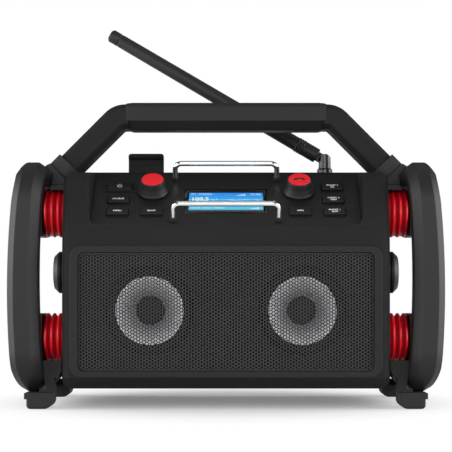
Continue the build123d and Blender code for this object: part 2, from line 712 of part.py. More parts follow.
def body_profile():
    """Side view of the body."""
    mid_z = (BODY_LEAN_Z + SHOULDER_Z) / 2
    shoulder_y = BODY_FRONT + BODY_LEAN
    with BuildSketch() as face:
        with BuildLine():
            Line((BODY_FRONT + BODY_TOE, BODY_BOTTOM), (BODY_FRONT, BODY_BOTTOM + BODY_TOE))
            Line((BODY_FRONT, BODY_BOTTOM + BODY_TOE), (BODY_FRONT, BODY_LEAN_Z))
            ThreePointArc(
                (BODY_FRONT, BODY_LEAN_Z), (lean_y(mid_z), mid_z), (shoulder_y, SHOULDER_Z)
            )
            Line((shoulder_y, SHOULDER_Z), (shoulder_y + SHOULDER_RUN, SHOULDER_TOP_Z))
            Line((shoulder_y + SHOULDER_RUN, SHOULDER_TOP_Z), (PANEL_TOP_Y, BODY_TOP))
            Line((PANEL_TOP_Y, BODY_TOP), (BODY_REAR - BODY_REAR_R, BODY_TOP))
            RadiusArc(
                (BODY_REAR - BODY_REAR_R, BODY_TOP), (BODY_REAR, BODY_TOP - BODY_REAR_R), BODY_REAR_R
            )
            Line((BODY_REAR, BODY_TOP - BODY_REAR_R), (BODY_REAR, BODY_BOTTOM + BODY_REAR_R))
            RadiusArc(
                (BODY_REAR, BODY_BOTTOM + BODY_REAR_R), (BODY_REAR - BODY_REAR_R, BODY_BOTTOM), BODY_REAR_R
            )
            Line((BODY_REAR - BODY_REAR_R, BODY_BOTTOM), (BODY_FRONT + BODY_TOE, BODY_BOTTOM))
        make_face()
    return face.sketch


# The panel's own frame: x across, y up the slope, z out of its face.
PANEL_RUN = PANEL_TOP_Y - lean_y(PANEL_Z)
PANEL_ANGLE = math.degrees(math.atan2(PANEL_RISE, PANEL_RUN))
PANEL_LENGTH = math.hypot(PANEL_RISE, PANEL_RUN)
ROD_S = (LOWER_ROD, PANEL_LENGTH - UPPER_ROD)
PANEL = Pos(0, lean_y(PANEL_Z), PANEL_Z) * Rot(PANEL_ANGLE, 0, 0)


def panel_block(x, s, h):
    """Box in the panel's frame."""
    return PANEL * block(x, s, h)


def panel_rod(r, x, s, h):
    """Cylinder square to the panel."""
    return PANEL * rod_z(r, x, s, h)


def panel_recess(drop, gap):
    """Space over the panel, from a depth below its face, with walls that lean outwards."""
    length = 2 * PANEL_LENGTH
    face = Pos(0, length / 2 + gap) * RectangleRounded(2 * (PANEL_HALF - gap), length, PANEL_R)
    lift = drop + PANEL_LENGTH * math.sin(math.radians(PANEL_ANGLE))
    return PANEL * (Pos(0, 0, -drop) * extrude(face, lift, taper=-PANEL_DRAFT))


def leg_notch(grow):
    """Space for the handle's legs and collars over the shoulders, at the middle of the depth."""
    line = HANDLE_AXIS - LEG_SHIFT - (LEG_GAP + grow) * math.sqrt(2)
    half = HANDLE_DEPTH / 2 + COLLAR_WALL + LEG_GAP + grow
    reach = BODY_TOP + HANDLE_TOP
    corners = [(line - reach, reach), (reach, reach), (reach, line - reach)]
    body = front_plate(make_face(Polyline(*corners, close=True)), -half, half)
    return body + left_of(body)


def body_outer():
    body = extrude(Plane.YZ * body_profile(), BODY_HALF, both=True)
    rim = body.edges().filter_by(lambda e: abs(abs((e @ 0.5).X) - BODY_HALF) < TOUCH)
    body = fillet(rim, BODY_EDGE_R)
    return body - panel_recess(0, 0) - leg_notch(0)


def body_inner():
    body = extrude(Plane.YZ * offset(body_profile(), -WALL), BODY_HALF - WALL, both=True)
    return body - panel_recess(PANEL_T + WALL, -WALL) - leg_notch(WALL)


def boss_places():
    """Middles of the four screw bosses, in the front view."""
    x = BODY_HALF - WALL - BOSS_R + BOSS_SINK
    return [(side * x, z) for side in (-1, 1) for z in BOSS_Z]


def shell_pair():
    """Hollow body before it is parted, with its screw bosses."""
    hollow = body_outer() - body_inner()
    inner = body_inner()
    for x, z in boss_places():
        hollow += rod_y(BOSS_R, x, (PARTING_Y - BOSS_LENGTH, BODY_REAR - WALL / 2), z) & inner
    return hollow


def front_shell(shell):
    """Front half: panel ledge, grille opening, holes for the bellows and bosses."""
    body = shell & block((-FAR, FAR), (-FAR, PARTING_Y), (0, FAR))
    span = (PANEL_RIM, PANEL_LENGTH - PANEL_RIM)
    body -= panel_recess(PANEL_T, 0) & panel_block((-FAR, FAR), span, (-2 * PANEL_T, FAR))
    half = PANEL_HALF - PANEL_R - PANEL_LIP
    window_s = (WALL + PANEL_LIP, PANEL_LENGTH - PANEL_LIP)
    body -= panel_block((-half, half), window_s, (-PANEL_T - 2 * WALL, BEYOND))
    opening = rounded(
        (-GRILLE_HALF - BEZEL_SLEEVE - FIT, GRILLE_HALF + BEZEL_SLEEVE + FIT),
        (GRILLE_BOTTOM - BEZEL_SLEEVE - FIT, GRILLE_TOP + BEZEL_SLEEVE + FIT),
        GRILLE_R + BEZEL_SLEEVE,
    )
    body -= front_plate(opening, BODY_FRONT - BEYOND, BODY_FRONT + WALL + BEYOND)
    for x, z in boss_places():
        body -= rod_y(SCREW_R + FIT, x, (PARTING_Y - SCREW_GRIP - SCREW_TIP, PARTING_Y + BEYOND), z)
    for z in BELLOWS_Z:
        body -= rod_x(BELLOWS_BOLT_R + FIT, (-BODY_HALF - BEYOND, BODY_HALF + BEYOND), 0, z)
    for x, s in rod_places():
        body -= panel_rod(ROD_R + FIT, x, s, (-ROD_TAIL - BEYOND, BEYOND))
    reach_x = AMP_SIZE[0] / 2 - AMP_POST_INSET
    reach_y = AMP_SIZE[1] / 2 - AMP_POST_INSET
    post_z = (BODY_BOTTOM + WALL / 2, BODY_BOTTOM + WALL + AMP_POST_H)
    for x in (-reach_x, reach_x):
        for y in (AMP_Y - reach_y, AMP_Y + reach_y):
            body += rod_z(AMP_POST_R, x, y, post_z)
    return body.solids().sort_by(SortBy.VOLUME)[-1]


def widened(span, by):
    """Low and high value, each moved outwards."""
    return span[0] - by, span[1] + by


SCREW_SEAT_Y = BODY_REAR - SCREW_HEAD_T - SCREW_HEAD_SINK
DOOR_SPAN = (DOOR_X - DOOR_HALF, DOOR_X + DOOR_HALF)
WELL_Y = BODY_REAR - DOOR_T - BATTERY_DEPTH  # bottom of the battery well
FLAP_SPAN = widened(SOCKET_X, FLAP_LAP)


def rear_shell(shell):
    """Rear half: battery well behind the door, socket opening, hinge ears, antenna hole."""
    body = shell & block((-FAR, FAR), (PARTING_Y, FAR), (0, FAR))
    x = widened(DOOR_SPAN, DOOR_GAP)
    z = widened(DOOR_Z, DOOR_GAP)
    ledge = BEYOND  # of the well, round the door's opening
    wall_y = BODY_REAR - WALL / 2
    jacket = ledge + BATTERY_WALL
    body += block(widened(x, jacket), (WELL_Y - BATTERY_WALL, wall_y), widened(z, jacket))
    body -= block(widened(x, ledge), (WELL_Y, BODY_REAR - DOOR_T), widened(z, ledge))
    body -= block(x, (BODY_REAR - DOOR_T - BEYOND, BODY_REAR + BEYOND), z)
    y_low, z_low = door_axis()
    for ear_x in hinge_ears(DOOR_SPAN, EAR_W):
        body += ear(ear_x, (y_low, z_low), wall_y, z_low - BARREL_R)
    for ear_x in hinge_ears(FLAP_SPAN, EAR_W):
        body += ear(ear_x, flap_axis(), wall_y, flap_axis()[1] + BARREL_R)
    for ear_x in hinge_ears(latch_span(), LATCH_EAR_W):
        body += ear(ear_x, latch_axis(), BODY_REAR - BODY_REAR_R, latch_axis()[1] - BARREL_R)
    hole_y = (BODY_REAR - WALL - BEYOND, BODY_REAR + BEYOND)
    body -= front_plate(rounded(SOCKET_X, SOCKET_Z, SOCKET_R), *hole_y)
    antenna_z = (BODY_TOP - WALL - BEYOND, BODY_TOP + BEYOND)
    body -= rod_z(ANTENNA_SPIGOT_R + FIT, ANTENNA_X, ANTENNA_Y, antenna_z)
    for screw_x, screw_z in boss_places():
        body -= rod_y(SCREW_R + FIT, screw_x, (PARTING_Y - BEYOND, BODY_REAR + BEYOND), screw_z)
        body -= rod_y(SCREW_HEAD_R + FIT, screw_x, (SCREW_SEAT_Y, BODY_REAR + BEYOND), screw_z)
    return body.solids().sort_by(SortBy.VOLUME)[-1]


def shell_screws():
    """Long screws from the back into the front bosses, and the bolts from inside into the bellows."""
    screws = []
    for x, z in boss_places():
        screw = rod_y(SCREW_R, x, (PARTING_Y - SCREW_GRIP, SCREW_SEAT_Y), z)
        screw += rod_y(SCREW_HEAD_R, x, (SCREW_SEAT_Y, SCREW_SEAT_Y + SCREW_HEAD_T), z)
        screws.append(screw)
    for z in BELLOWS_Z:
        head_x = BODY_HALF - WALL
        bolt = rod_x(BELLOWS_BOLT_R, (head_x, BODY_HALF + BELLOWS_BOLT_GRIP), 0, z)
        bolt += rod_x(BELLOWS_BOLT_HEAD_R, (head_x - BELLOWS_BOLT_HEAD_T, head_x), 0, z)
        screws += [bolt, left_of(bolt)]
    return Compound(children=screws)


# ---------------------------------------------------------------- hinges at the back
def hinge_ears(span, width):
    """Left and right ear of a hinge, at the ends of a span."""
    return (span[0], span[0] + width), (span[1] - width, span[1])


def barrel_span(span, width):
    """Stretch of a hinge between its two ears."""
    return widened(span, -width - SOFT_GAP)


def pin_span(span):
    """Hinge pin: through both ears, short of their outer faces."""
    return widened(span, -DOOR_GAP)


HINGE_Y = BODY_REAR + BARREL_R + SOFT_GAP


def door_axis():
    """y and z of the battery door's hinge."""
    return HINGE_Y, DOOR_Z[0] - DOOR_GAP - BARREL_R - BARREL_GAP


def flap_axis():
    """y and z of the socket flap's hinge."""
    return HINGE_Y, SOCKET_Z[1] + FLAP_LAP + BARREL_R + BARREL_GAP


def latch_axis():
    """y and z of the latch's hinge."""
    return HINGE_Y, LATCH_PIVOT_Z


def latch_span():
    """The latch with its two ears."""
    return DOOR_X - LATCH_HALF - DOOR_GAP - LATCH_EAR_W, DOOR_X + LATCH_HALF + DOOR_GAP + LATCH_EAR_W


def ear(x, axis, root_y, root_z):
    """Hinge ear on the rear wall: a barrel with a web into the wall."""
    y, z = axis
    body = rod_x(BARREL_R, x, y, z)
    body += block(x, (root_y, y), sorted((z, root_z)))
    return body - rod_x(PIN_R + RUN_FIT, widened(x, BEYOND), y, z)


def battery_door():
    """Door plate with its barrel and two stub pins."""
    x = DOOR_SPAN
    y, z = door_axis()
    span = barrel_span(x, EAR_W)
    web_z = DOOR_Z[0] + DOOR_FOOT
    body = block(x, (BODY_REAR - DOOR_T + SLIP / 2, BODY_REAR), DOOR_Z)
    body += rod_x(BARREL_R, span, y, z)
    body += block(span, (BODY_REAR + SOFT_GAP, y), (z, web_z))
    body += block(span, (BODY_REAR - SOFT_GAP, BODY_REAR + 2 * SOFT_GAP), (DOOR_Z[0] + SOFT_GAP, web_z))
    return body + rod_x(PIN_R, pin_span(x), y, z)


def battery_pack():
    """Cells in a wrapped block that fills the well."""
    x = widened(DOOR_SPAN, -PACK_GAP)
    y = (WELL_Y + SLIP / 2, BODY_REAR - DOOR_T - PACK_GAP)
    z = (DOOR_Z[0] - DOOR_GAP - BEYOND + SLIP, DOOR_Z[1] - PACK_GAP)
    body = block(x, y, z)
    return fillet(body.edges().filter_by(Axis.Z), PACK_R)


def door_latch():
    """Latch over the door: pivot barrel, foot above the door, tall tab with a rolled lip."""
    y, z = latch_axis()
    x = (DOOR_X - LATCH_HALF, DOOR_X + LATCH_HALF)
    lip_z = LATCH_TOP - LATCH_LIP_R
    outer_y = y + LATCH_T / 2
    body = block(x, (y - LATCH_T / 2, outer_y), (z, lip_z))
    body += rod_x(BARREL_R - SOFT_GAP, x, y, z)
    body += block(x, (BODY_REAR + SOFT_GAP, outer_y), (DOOR_Z[1] + DOOR_GAP + LATCH_FOOT, z))
    body += rod_x(LATCH_LIP_R, x, outer_y - LATCH_LIP_R, lip_z)
    return body + rod_x(PIN_R, pin_span(latch_span()), y, z)


def socket_plate():
    """Plate in the socket recess, with the supply inlet and a line jack."""
    back = BODY_REAR - SOCKET_DEPTH
    tube = rounded(
        widened(SOCKET_X, SOCKET_WALL), widened(SOCKET_Z, SOCKET_WALL), SOCKET_R + SOCKET_WALL
    )
    body = front_plate(tube, back - SOCKET_PLATE_T, BODY_REAR - WALL)
    body -= front_plate(rounded(SOCKET_X, SOCKET_Z, SOCKET_R), back, BODY_REAR)
    z = (SOCKET_Z[0] + SOCKET_Z[1]) / 2
    y = (back - INLET_LENGTH, back)
    inside = (y[0] + INLET_WALL, back + BEYOND)
    for x, outer_r, bore_r in (
        (SOCKET_X[0] + SOCKET_MARGIN, INLET_OUT_R, INLET_R),
        (SOCKET_X[1] - SOCKET_MARGIN, LINE_JACK_OUT_R, LINE_JACK_R),
    ):
        body += rod_y(outer_r, x, y, z)
        body -= rod_y(bore_r, x, inside, z)
    return body


def socket_flap():
    """Rubber flap over the sockets, with its barrel and stub pins."""
    y, z = flap_axis()
    inner_y = BODY_REAR + SOFT_GAP
    plate_z = widened(SOCKET_Z, FLAP_LAP)
    body = front_plate(rounded(FLAP_SPAN, plate_z, SOCKET_R), inner_y, inner_y + FLAP_T)
    span = barrel_span(FLAP_SPAN, EAR_W)
    body += rod_x(BARREL_R, span, y, z)
    body += block(span, (inner_y, y), (plate_z[1] - SOCKET_R, z))
    return body + rod_x(PIN_R, pin_span(FLAP_SPAN), y, z)


# ---------------------------------------------------------------- grille and speakers
BAFFLE_FRONT = BODY_FRONT + WALL
BAFFLE_BACK = BAFFLE_FRONT + BAFFLE_T


def grille_bezel():
    """Raised frame round the grille, with a sleeve through the shell."""
    outer = rounded((-BEZEL_HALF, BEZEL_HALF), (BEZEL_BOTTOM, BEZEL_TOP), BEZEL_R)
    sleeve = rounded(
        (-GRILLE_HALF - BEZEL_SLEEVE, GRILLE_HALF + BEZEL_SLEEVE),
        (GRILLE_BOTTOM - BEZEL_SLEEVE, GRILLE_TOP + BEZEL_SLEEVE),
        GRILLE_R + BEZEL_SLEEVE,
    )
    hole = rounded((-GRILLE_HALF, GRILLE_HALF), (GRILLE_BOTTOM, GRILLE_TOP), GRILLE_R)
    face = front_plate(outer, BODY_FRONT - BEZEL_PROUD, BODY_FRONT)
    rim = face.edges().filter_by(lambda e: (e @ 0.5).Y < BODY_FRONT - BEZEL_PROUD + TOUCH)
    face = chamfer(rim, BEZEL_EDGE)
    body = face + front_plate(sleeve, BODY_FRONT, BAFFLE_FRONT)
    return body - front_plate(hole, BODY_FRONT - 2 * BEZEL_PROUD, BAFFLE_FRONT + BEYOND)


def grille():
    """Perforated sheet with a turned-back rim that stands on the baffle."""
    x = (-GRILLE_HALF + SLIP, GRILLE_HALF - SLIP)
    z = (GRILLE_BOTTOM + SLIP, GRILLE_TOP - SLIP)
    r = GRILLE_R - SLIP
    front = BODY_FRONT + GRILLE_SINK
    sheet = GRILLE_SHEET
    body = front_plate(rounded(x, z, r), front, BAFFLE_FRONT)
    inside = rounded(widened(x, -sheet), widened(z, -sheet), r - sheet)
    return body - front_plate(inside, front + sheet, BAFFLE_FRONT + BEYOND)


def speaker_baffle():
    """Board behind the front wall, with a hole for each speaker."""
    side = BEZEL_SLEEVE + BAFFLE_LAP
    plate = rounded(
        (-GRILLE_HALF - side, GRILLE_HALF + side), (GRILLE_BOTTOM - side, GRILLE_TOP + side), GRILLE_R
    )
    body = front_plate(plate, BAFFLE_FRONT, BAFFLE_BACK)
    for x in (-SPEAKER_X, SPEAKER_X):
        body -= rod_y(SPEAKER_HOLE_R, x, (BAFFLE_FRONT - BEYOND, BAFFLE_BACK + BEYOND), SPEAKER_Z)
    top = block((-FAR, FAR), (BAFFLE_FRONT - BEYOND, BAFFLE_BACK + BEYOND), (BODY_LEAN_Z, FAR))
    return body - (top - body_inner())


def turned(points, x):
    """Ring turned round a speaker's axis from (radius, y) corners."""
    face = make_face(Polyline(*points, close=True))
    return Pos(x, 0, SPEAKER_Z) * revolve(face, Axis.Y)


CONE_FRONT = BAFFLE_BACK - CONE_SINK  # front edge of the cone
CONE_BACK = CONE_FRONT + CONE_DEPTH  # its neck
COIL_END = CONE_BACK + CONE_NECK
MAGNET_FRONT = COIL_END - BASKET_WALL - CONE_TRAVEL  # face that the former dips into


def speaker_basket(x):
    """Basket with its magnet; the voice coil's former dips into the magnet."""
    y0 = BAFFLE_BACK
    rim = SURROUND_T + SLIP
    bore = CONE_NECK_R + CONE_T + COIL_GAP
    pocket = COIL_END + CONE_TRAVEL + BASKET_WALL
    points = [
        (SPEAKER_FRAME_R, y0),
        (SPEAKER_FRAME_R, y0 + SPEAKER_FRAME_T),
        (SURROUND_OUT_R + BASKET_WALL, y0 + SPEAKER_FRAME_T),
        (BASKET_NECK_R + BASKET_WALL, MAGNET_FRONT),
        (MAGNET_R, MAGNET_FRONT),
        (MAGNET_R, pocket + MAGNET_LID),
        (0, pocket + MAGNET_LID),
        (0, pocket),
        (bore, pocket),
        (bore, MAGNET_FRONT - BASKET_WALL),
        (BASKET_NECK_R - BASKET_WALL / 2, MAGNET_FRONT - BASKET_WALL),
        (SURROUND_OUT_R - BASKET_WALL, y0 + SPEAKER_FRAME_T + BASKET_WALL),
        (SURROUND_OUT_R - BASKET_WALL, y0 + rim),
        (SURROUND_OUT_R + FIT, y0 + rim),
        (SURROUND_OUT_R + FIT, y0),
    ]
    return turned(points, x)


def speaker_cone(x):
    """Paper cone with its dust cap and voice coil former."""
    t = CONE_T
    points = [
        (CONE_R, CONE_FRONT),
        (CONE_R, CONE_FRONT + t),
        (CONE_NECK_R + t, CONE_BACK + t),
        (CONE_NECK_R + t, COIL_END),
        (CONE_NECK_R, COIL_END),
        (CONE_NECK_R, CONE_BACK),
    ]
    body = turned(points, x)
    dome_r = (CONE_NECK_R**2 + CAP_DOME**2) / (2 * CAP_DOME)
    dome = Pos(x, CONE_BACK - CAP_DOME + dome_r, SPEAKER_Z) * (Sphere(dome_r) - Sphere(dome_r - 2 * t))
    dome &= rod_y(CONE_NECK_R + t, x, (CONE_BACK - CAP_DOME - BEYOND, CONE_BACK + BEYOND), SPEAKER_Z)
    return body + dome


def speaker_surround(x):
    """Half-roll rubber ring between the cone and the basket."""
    mid = (SURROUND_OUT_R + CONE_R) / 2
    top = CONE_FRONT - SURROUND_ROLL
    y = BAFFLE_BACK
    t = SURROUND_T
    inner = CONE_R + SOFT_GAP
    land = SURROUND_OUT_R - SURROUND_FLAT
    with BuildSketch() as face:
        with BuildLine():
            Line((SURROUND_OUT_R, y), (SURROUND_OUT_R, y + t))
            Line((SURROUND_OUT_R, y + t), (land, y + t))
            ThreePointArc((land, y + t), (mid - t / 2, top + t), (inner, y))
            Line((inner, y), (inner, y - t))
            ThreePointArc((inner, y - t), (mid, top), (land + t, y))
            Line((land + t, y), (SURROUND_OUT_R, y))
        make_face()
    return Pos(x, 0, SPEAKER_Z) * revolve(face.sketch, Axis.Y)


# ---------------------------------------------------------------- control panel
def key_places():
    """Name, x, slope place and width of each key."""
    low, middle, high = KEY_ROWS
    places = [("key_power", -KEY_X, high, POWER_KEY_W)]
    for name, x, s in (
        ("key_left_middle", -KEY_X, middle),
        ("key_left_bottom", -KEY_X, low),
        ("key_under_left_knob", -KNOB_X, low),
        ("key_under_right_knob", KNOB_X, low),
        ("key_right_top", KEY_X, high),
        ("key_right_middle", KEY_X, middle),
        ("key_right_bottom", KEY_X, low),
    ):
        places.append((name, x, s, KEY_W))
    return places


def rod_places():
    """Feet of the two guard rods, in the panel's frame."""
    return [(x, s) for x in (-ROD_X, ROD_X) for s in ROD_S]


def key_block(x, s, w, grow, h):
    """Box round a key, grown on its four sides."""
    return panel_block((x - w / 2 - grow, x + w / 2 + grow), (s - KEY_D / 2 - grow, s + KEY_D / 2 + grow), h)


def control_panel():
    """Sloping plate with holes for keys, knobs, display and guard rods."""
    through = (-PANEL_T - BEYOND, BEYOND)
    edge = PANEL_RIM + SLIP
    span = (edge, PANEL_LENGTH - edge)
    body = panel_recess(PANEL_T, SLIP) & panel_block((-FAR, FAR), span, (-PANEL_T, 0))
    _, power_x, power_s, power_w = key_places()[0]
    body += key_block(power_x, power_s, power_w, KEY_GAP + POWER_RIM_T, (-PANEL_T / 2, POWER_RIM_H))
    for _, x, s, w in key_places():
        body -= key_block(x, s, w, KEY_GAP, (-PANEL_T - BEYOND, KEY_H))
    body -= panel_block((-WINDOW_HALF, WINDOW_HALF), WINDOW_S, through)
    for x in (-KNOB_X, KNOB_X):
        body -= panel_rod(KNOB_SHAFT_R + RUN_FIT, x, KNOB_S, through)
    for x, s in rod_places():
        body -= panel_rod(ROD_R + FIT, x, s, through)
    return body


def display_window():
    """Clear window set just below the panel's face."""
    half = WINDOW_HALF - SLIP / 2
    return panel_block((-half, half), widened(WINDOW_S, -SLIP / 2), (-WINDOW_SINK - WINDOW_T, -WINDOW_SINK))


def display_module():
    """Lit display under the window, standing on the control board."""
    half = WINDOW_HALF - DISPLAY_MARGIN
    top = -WINDOW_SINK - WINDOW_T
    return panel_block((-half, half), widened(WINDOW_S, -DISPLAY_MARGIN), (-BOARD_DROP, top))


def panel_guard(s):
    """Chrome rod bent to a bracket over the panel."""
    low = -ROD_TAIL
    path = FilletPolyline((-ROD_X, low), (-ROD_X, ROD_H), (ROD_X, ROD_H), (ROD_X, low), radius=ROD_BEND_R)
    wire = Plane.XZ * path
    start = Plane(origin=(-ROD_X, 0, low), z_dir=(0, 0, 1))
    body = sweep(start * Circle(ROD_R), path=wire)
    return PANEL * (Pos(0, s, 0) * body)


def guard_ferrules():
    """Rubber ring at the foot of each rod."""
    rings = []
    for x, s in rod_places():
        ring = rod_z(FERRULE_R, x, s, (0, FERRULE_H))
        ring = fillet(ring.edges().sort_by(Axis.Z)[-1], FERRULE_EDGE_R)
        rings.append(PANEL * (ring - rod_z(ROD_R + FIT, x, s, (-BEYOND, FERRULE_H + BEYOND))))
    return Compound(children=rings)


SHAFT_END = -BOARD_DROP + BEYOND  # inner end of a knob's shaft


def knob(x):
    """Turning knob: flared skirt, recess for the red button, hollow shaft."""
    h0 = KNOB_GAP
    h1 = KNOB_GAP + KNOB_H
    bore = CAP_STEM_R + RUN_FIT
    floor = h1 - CAP_T - CAP_TRAVEL - PRESS_ROOM
    cup = CAP_R + RUN_FIT
    points = [
        (bore, SHAFT_END),
        (KNOB_SHAFT_R, SHAFT_END),
        (KNOB_SHAFT_R, h0),
        (KNOB_R, h0),
        (KNOB_R, h0 + KNOB_SKIRT),
        (KNOB_R - KNOB_EDGE, h0 + KNOB_SKIRT + KNOB_EDGE),
        (KNOB_TOP_R + KNOB_EDGE / 2, h1 - KNOB_EDGE / 2),
        (KNOB_TOP_R, h1),
        (cup, h1),
        (cup, floor),
        (bore, floor),
    ]
    face = make_face(Plane.XZ * Polyline(*points, close=True))
    return PANEL * (Pos(x, KNOB_S, 0) * revolve(face, Axis.Z))


def knob_cap(x):
    """Red push button in the middle of a knob, on a stem down the hollow shaft."""
    h1 = KNOB_GAP + KNOB_H
    disc = rod_z(CAP_R, x, KNOB_S, (h1 - CAP_T, h1 + CAP_PROUD))
    disc = chamfer(disc.edges().sort_by(Axis.Z)[-1], CAP_EDGE)
    stem_end = SHAFT_END + CAP_TRAVEL + BEYOND
    return PANEL * (disc + rod_z(CAP_STEM_R, x, KNOB_S, (stem_end, h1 - CAP_T / 2)))


KEY_UNDER = -PANEL_T - SOFT_GAP  # top of the flange of a key
KEY_BACK = KEY_UNDER - KEY_FLANGE
SWITCH_TOP = KEY_BACK - KEY_TRAVEL - SLIP / 2


def key(x, s, w):
    """Push key: body through the panel, flange under it."""
    body = block((x - w / 2, x + w / 2), (s - KEY_D / 2, s + KEY_D / 2), (KEY_BACK, KEY_H))
    body = chamfer(body.edges().group_by(Axis.Z)[-1], KEY_EDGE)
    return PANEL * body + key_block(x, s, w, KEY_FLANGE, (KEY_BACK, KEY_UNDER))


def control_board():
    """Board under the panel, with the key switches and the encoders that the knobs turn."""
    half = PANEL_HALF - PANEL_R - PANEL_LIP - BOARD_MARGIN
    low = WALL + PANEL_LIP + BOARD_MARGIN
    top = -BOARD_DROP
    body = block((-half, half), (low, PANEL_LENGTH - low), (top - BOARD_T, top))
    size = SWITCH_SIZE / 2
    for _, x, s, _ in key_places():
        body += block((x - size, x + size), (s - size, s + size), (top - BOARD_T / 2, SWITCH_TOP))
    size = ENCODER_SIZE / 2
    for x in (-KNOB_X, KNOB_X):
        encoder_z = (top - BOARD_T - ENCODER_DROP, -PANEL_T)
        body += block((x - size, x + size), (KNOB_S - size, KNOB_S + size), encoder_z)
        body -= rod_z(KNOB_SHAFT_R + RUN_FIT, x, KNOB_S, (SHAFT_END - SLIP, 0))
        body -= rod_z(CAP_STEM_R + RUN_FIT, x, KNOB_S, (SHAFT_END - BEYOND, 0))
    for x, s in rod_places():
        body -= rod_z(ROD_R + BEYOND, x, s, (top - BOARD_T - BEYOND, 0))
    return PANEL * body


# ---------------------------------------------------------------- sides, inside, antenna
def side_buffer():
    """Right-hand rubber buffer on the body's side."""
    x = (BODY_HALF + FIT, BODY_HALF + BUFFER_T)
    body = rod_x(BUFFER_R, x, 0, BUFFER_Z)
    rim = body.edges().filter_by(lambda e: (e @ 0.5).X > x[1] - TOUCH)
    return fillet(rim, BUFFER_EDGE_R)


def amplifier_board():
    """Amplifier board on four posts, with a finned heat sink."""
    z = BODY_BOTTOM + WALL + AMP_POST_H
    x = (-AMP_SIZE[0] / 2, AMP_SIZE[0] / 2)
    y = (AMP_Y - AMP_SIZE[1] / 2, AMP_Y + AMP_SIZE[1] / 2)
    body = block(x, y, (z, z + BOARD_T))
    length, depth, height = HEATSINK
    base_y = y[1] - depth
    sink_z = (z + BOARD_T / 2, z + height)
    body += block((-length / 2, length / 2), (base_y, base_y + HEATSINK_BASE), sink_z)
    pitch = (length - HEATSINK_FIN_T) / (HEATSINK_FINS - 1)
    for i in range(HEATSINK_FINS):
        fin_x = -length / 2 + i * pitch
        body += block((fin_x, fin_x + HEATSINK_FIN_T), (base_y, base_y + depth), sink_z)
    return body


ANTENNA_TOP = BODY_TOP + ANTENNA_BASE_H  # top of the bush
SOCKET_FLOOR = BODY_TOP + ANTENNA_FLOOR  # bottom of the bush's bore


def antenna_base():
    """Bush in the top of the rear shell; the yoke turns in it."""
    body = rod_z(ANTENNA_BASE_R, ANTENNA_X, ANTENNA_Y, (BODY_TOP, ANTENNA_TOP))
    body = chamfer(body.edges().group_by(Axis.Z)[-1], ANTENNA_EDGE)
    spigot_z = (BODY_TOP - WALL - ANTENNA_NUT, BODY_TOP + BEYOND)
    body += rod_z(ANTENNA_SPIGOT_R, ANTENNA_X, ANTENNA_Y, spigot_z)
    return body - rod_z(
        ANTENNA_SPIGOT_R + RUN_FIT, ANTENNA_X, ANTENNA_Y, (SOCKET_FLOOR, ANTENNA_TOP + BEYOND)
    )


def antenna_yoke():
    """Turned fork with the elbow pin through its cheeks."""
    x, y = ANTENNA_X, ANTENNA_Y
    body = rod_z(YOKE_R, x, y, (ANTENNA_TOP + SLIP, ELBOW_Z))
    head = rod_y(YOKE_R, x, (y - YOKE_R, y + YOKE_R), ELBOW_Z)
    body += head & rod_z(YOKE_R, x, y, (ELBOW_Z - BEYOND, ELBOW_Z + YOKE_R))
    slot_z = (ELBOW_Z - YOKE_R - 2 * SLIP, ELBOW_Z + YOKE_R + BEYOND)
    body -= block((x - 2 * YOKE_R, x + 2 * YOKE_R), (y - YOKE_SLOT / 2, y + YOKE_SLOT / 2), slot_z)
    pin = rod_y(ELBOW_PIN_R, x, (y - YOKE_R + PIN_INSET, y + YOKE_R - PIN_INSET), ELBOW_Z)
    spigot = rod_z(ANTENNA_SPIGOT_R, x, y, (SOCKET_FLOOR + SLIP, ANTENNA_TOP + BEYOND))
    return body + pin + spigot


def antenna_whip():
    """Rubber whip with a steel tongue, made upright and laid over by its tilt."""
    start = WHIP_START
    end = WHIP_LENGTH
    ring_r = WHIP_R + RING_H
    points = [(0, start), (WHIP_R - WHIP_EDGE, start), (WHIP_R, start + WHIP_EDGE)]
    for at in WHIP_RINGS:
        points += [(WHIP_R, at), (ring_r, at + RING_H), (ring_r, at + RING_W - RING_H), (WHIP_R, at + RING_W)]
    groove = end - WHIP_GROOVE
    points += [(WHIP_TIP_R, groove - 2 * RING_H), (WHIP_TIP_R - RING_H, groove - RING_H)]
    points += [(WHIP_TIP_R - RING_H, groove + RING_H), (WHIP_TIP_R, groove + 2 * RING_H)]
    points += [(WHIP_TIP_R, end - WHIP_TIP_EDGE), (WHIP_TIP_R - WHIP_TIP_EDGE, end), (0, end)]
    body = revolve(make_face(Plane.XZ * Polyline(*points, close=True)), Axis.Z)
    half = TONGUE_T / 2
    tongue_r = YOKE_R - TONGUE_INSET
    body += block((-tongue_r, tongue_r), (-half, half), (0, start + TONGUE_GRIP))
    body += rod_y(tongue_r, 0, (-half, half), 0)
    body -= rod_y(ELBOW_PIN_R + RUN_FIT, 0, (-TONGUE_T, TONGUE_T), 0)
    return Pos(ANTENNA_X, ANTENNA_Y, ELBOW_Z) * Rot(0, WHIP_TILT - 90, 0) * body


# ---------------------------------------------------------------- build
os.makedirs("parts", exist_ok=True)

right_guard = guard()
save("guard_right", right_guard)
save("guard_left", left_of(right_guard))
save("bellows_bolts", bellows_bolts())
for level, height in zip(("lower", "upper"), BELLOWS_Z):
    right_bellows = bellows(height)
    save(f"bellows_{level}_right", right_bellows)
    save(f"bellows_{level}_left", left_of(right_bellows))
for place, is_front in (("front", True), ("rear", False)):
    right_foot = foot(is_front)
    save(f"foot_{place}_right", right_foot)
    save(f"foot_{place}_left", left_of(right_foot))
save("handle_tube", handle_tube())
save("handle_grip", handle_grip())
right_collar = collar()
save("handle_collar_right", right_collar)
save("handle_collar_left", left_of(right_collar))
right_bracket = bracket()
save("handle_bracket_right", right_bracket)
save("handle_bracket_left", left_of(right_bracket))

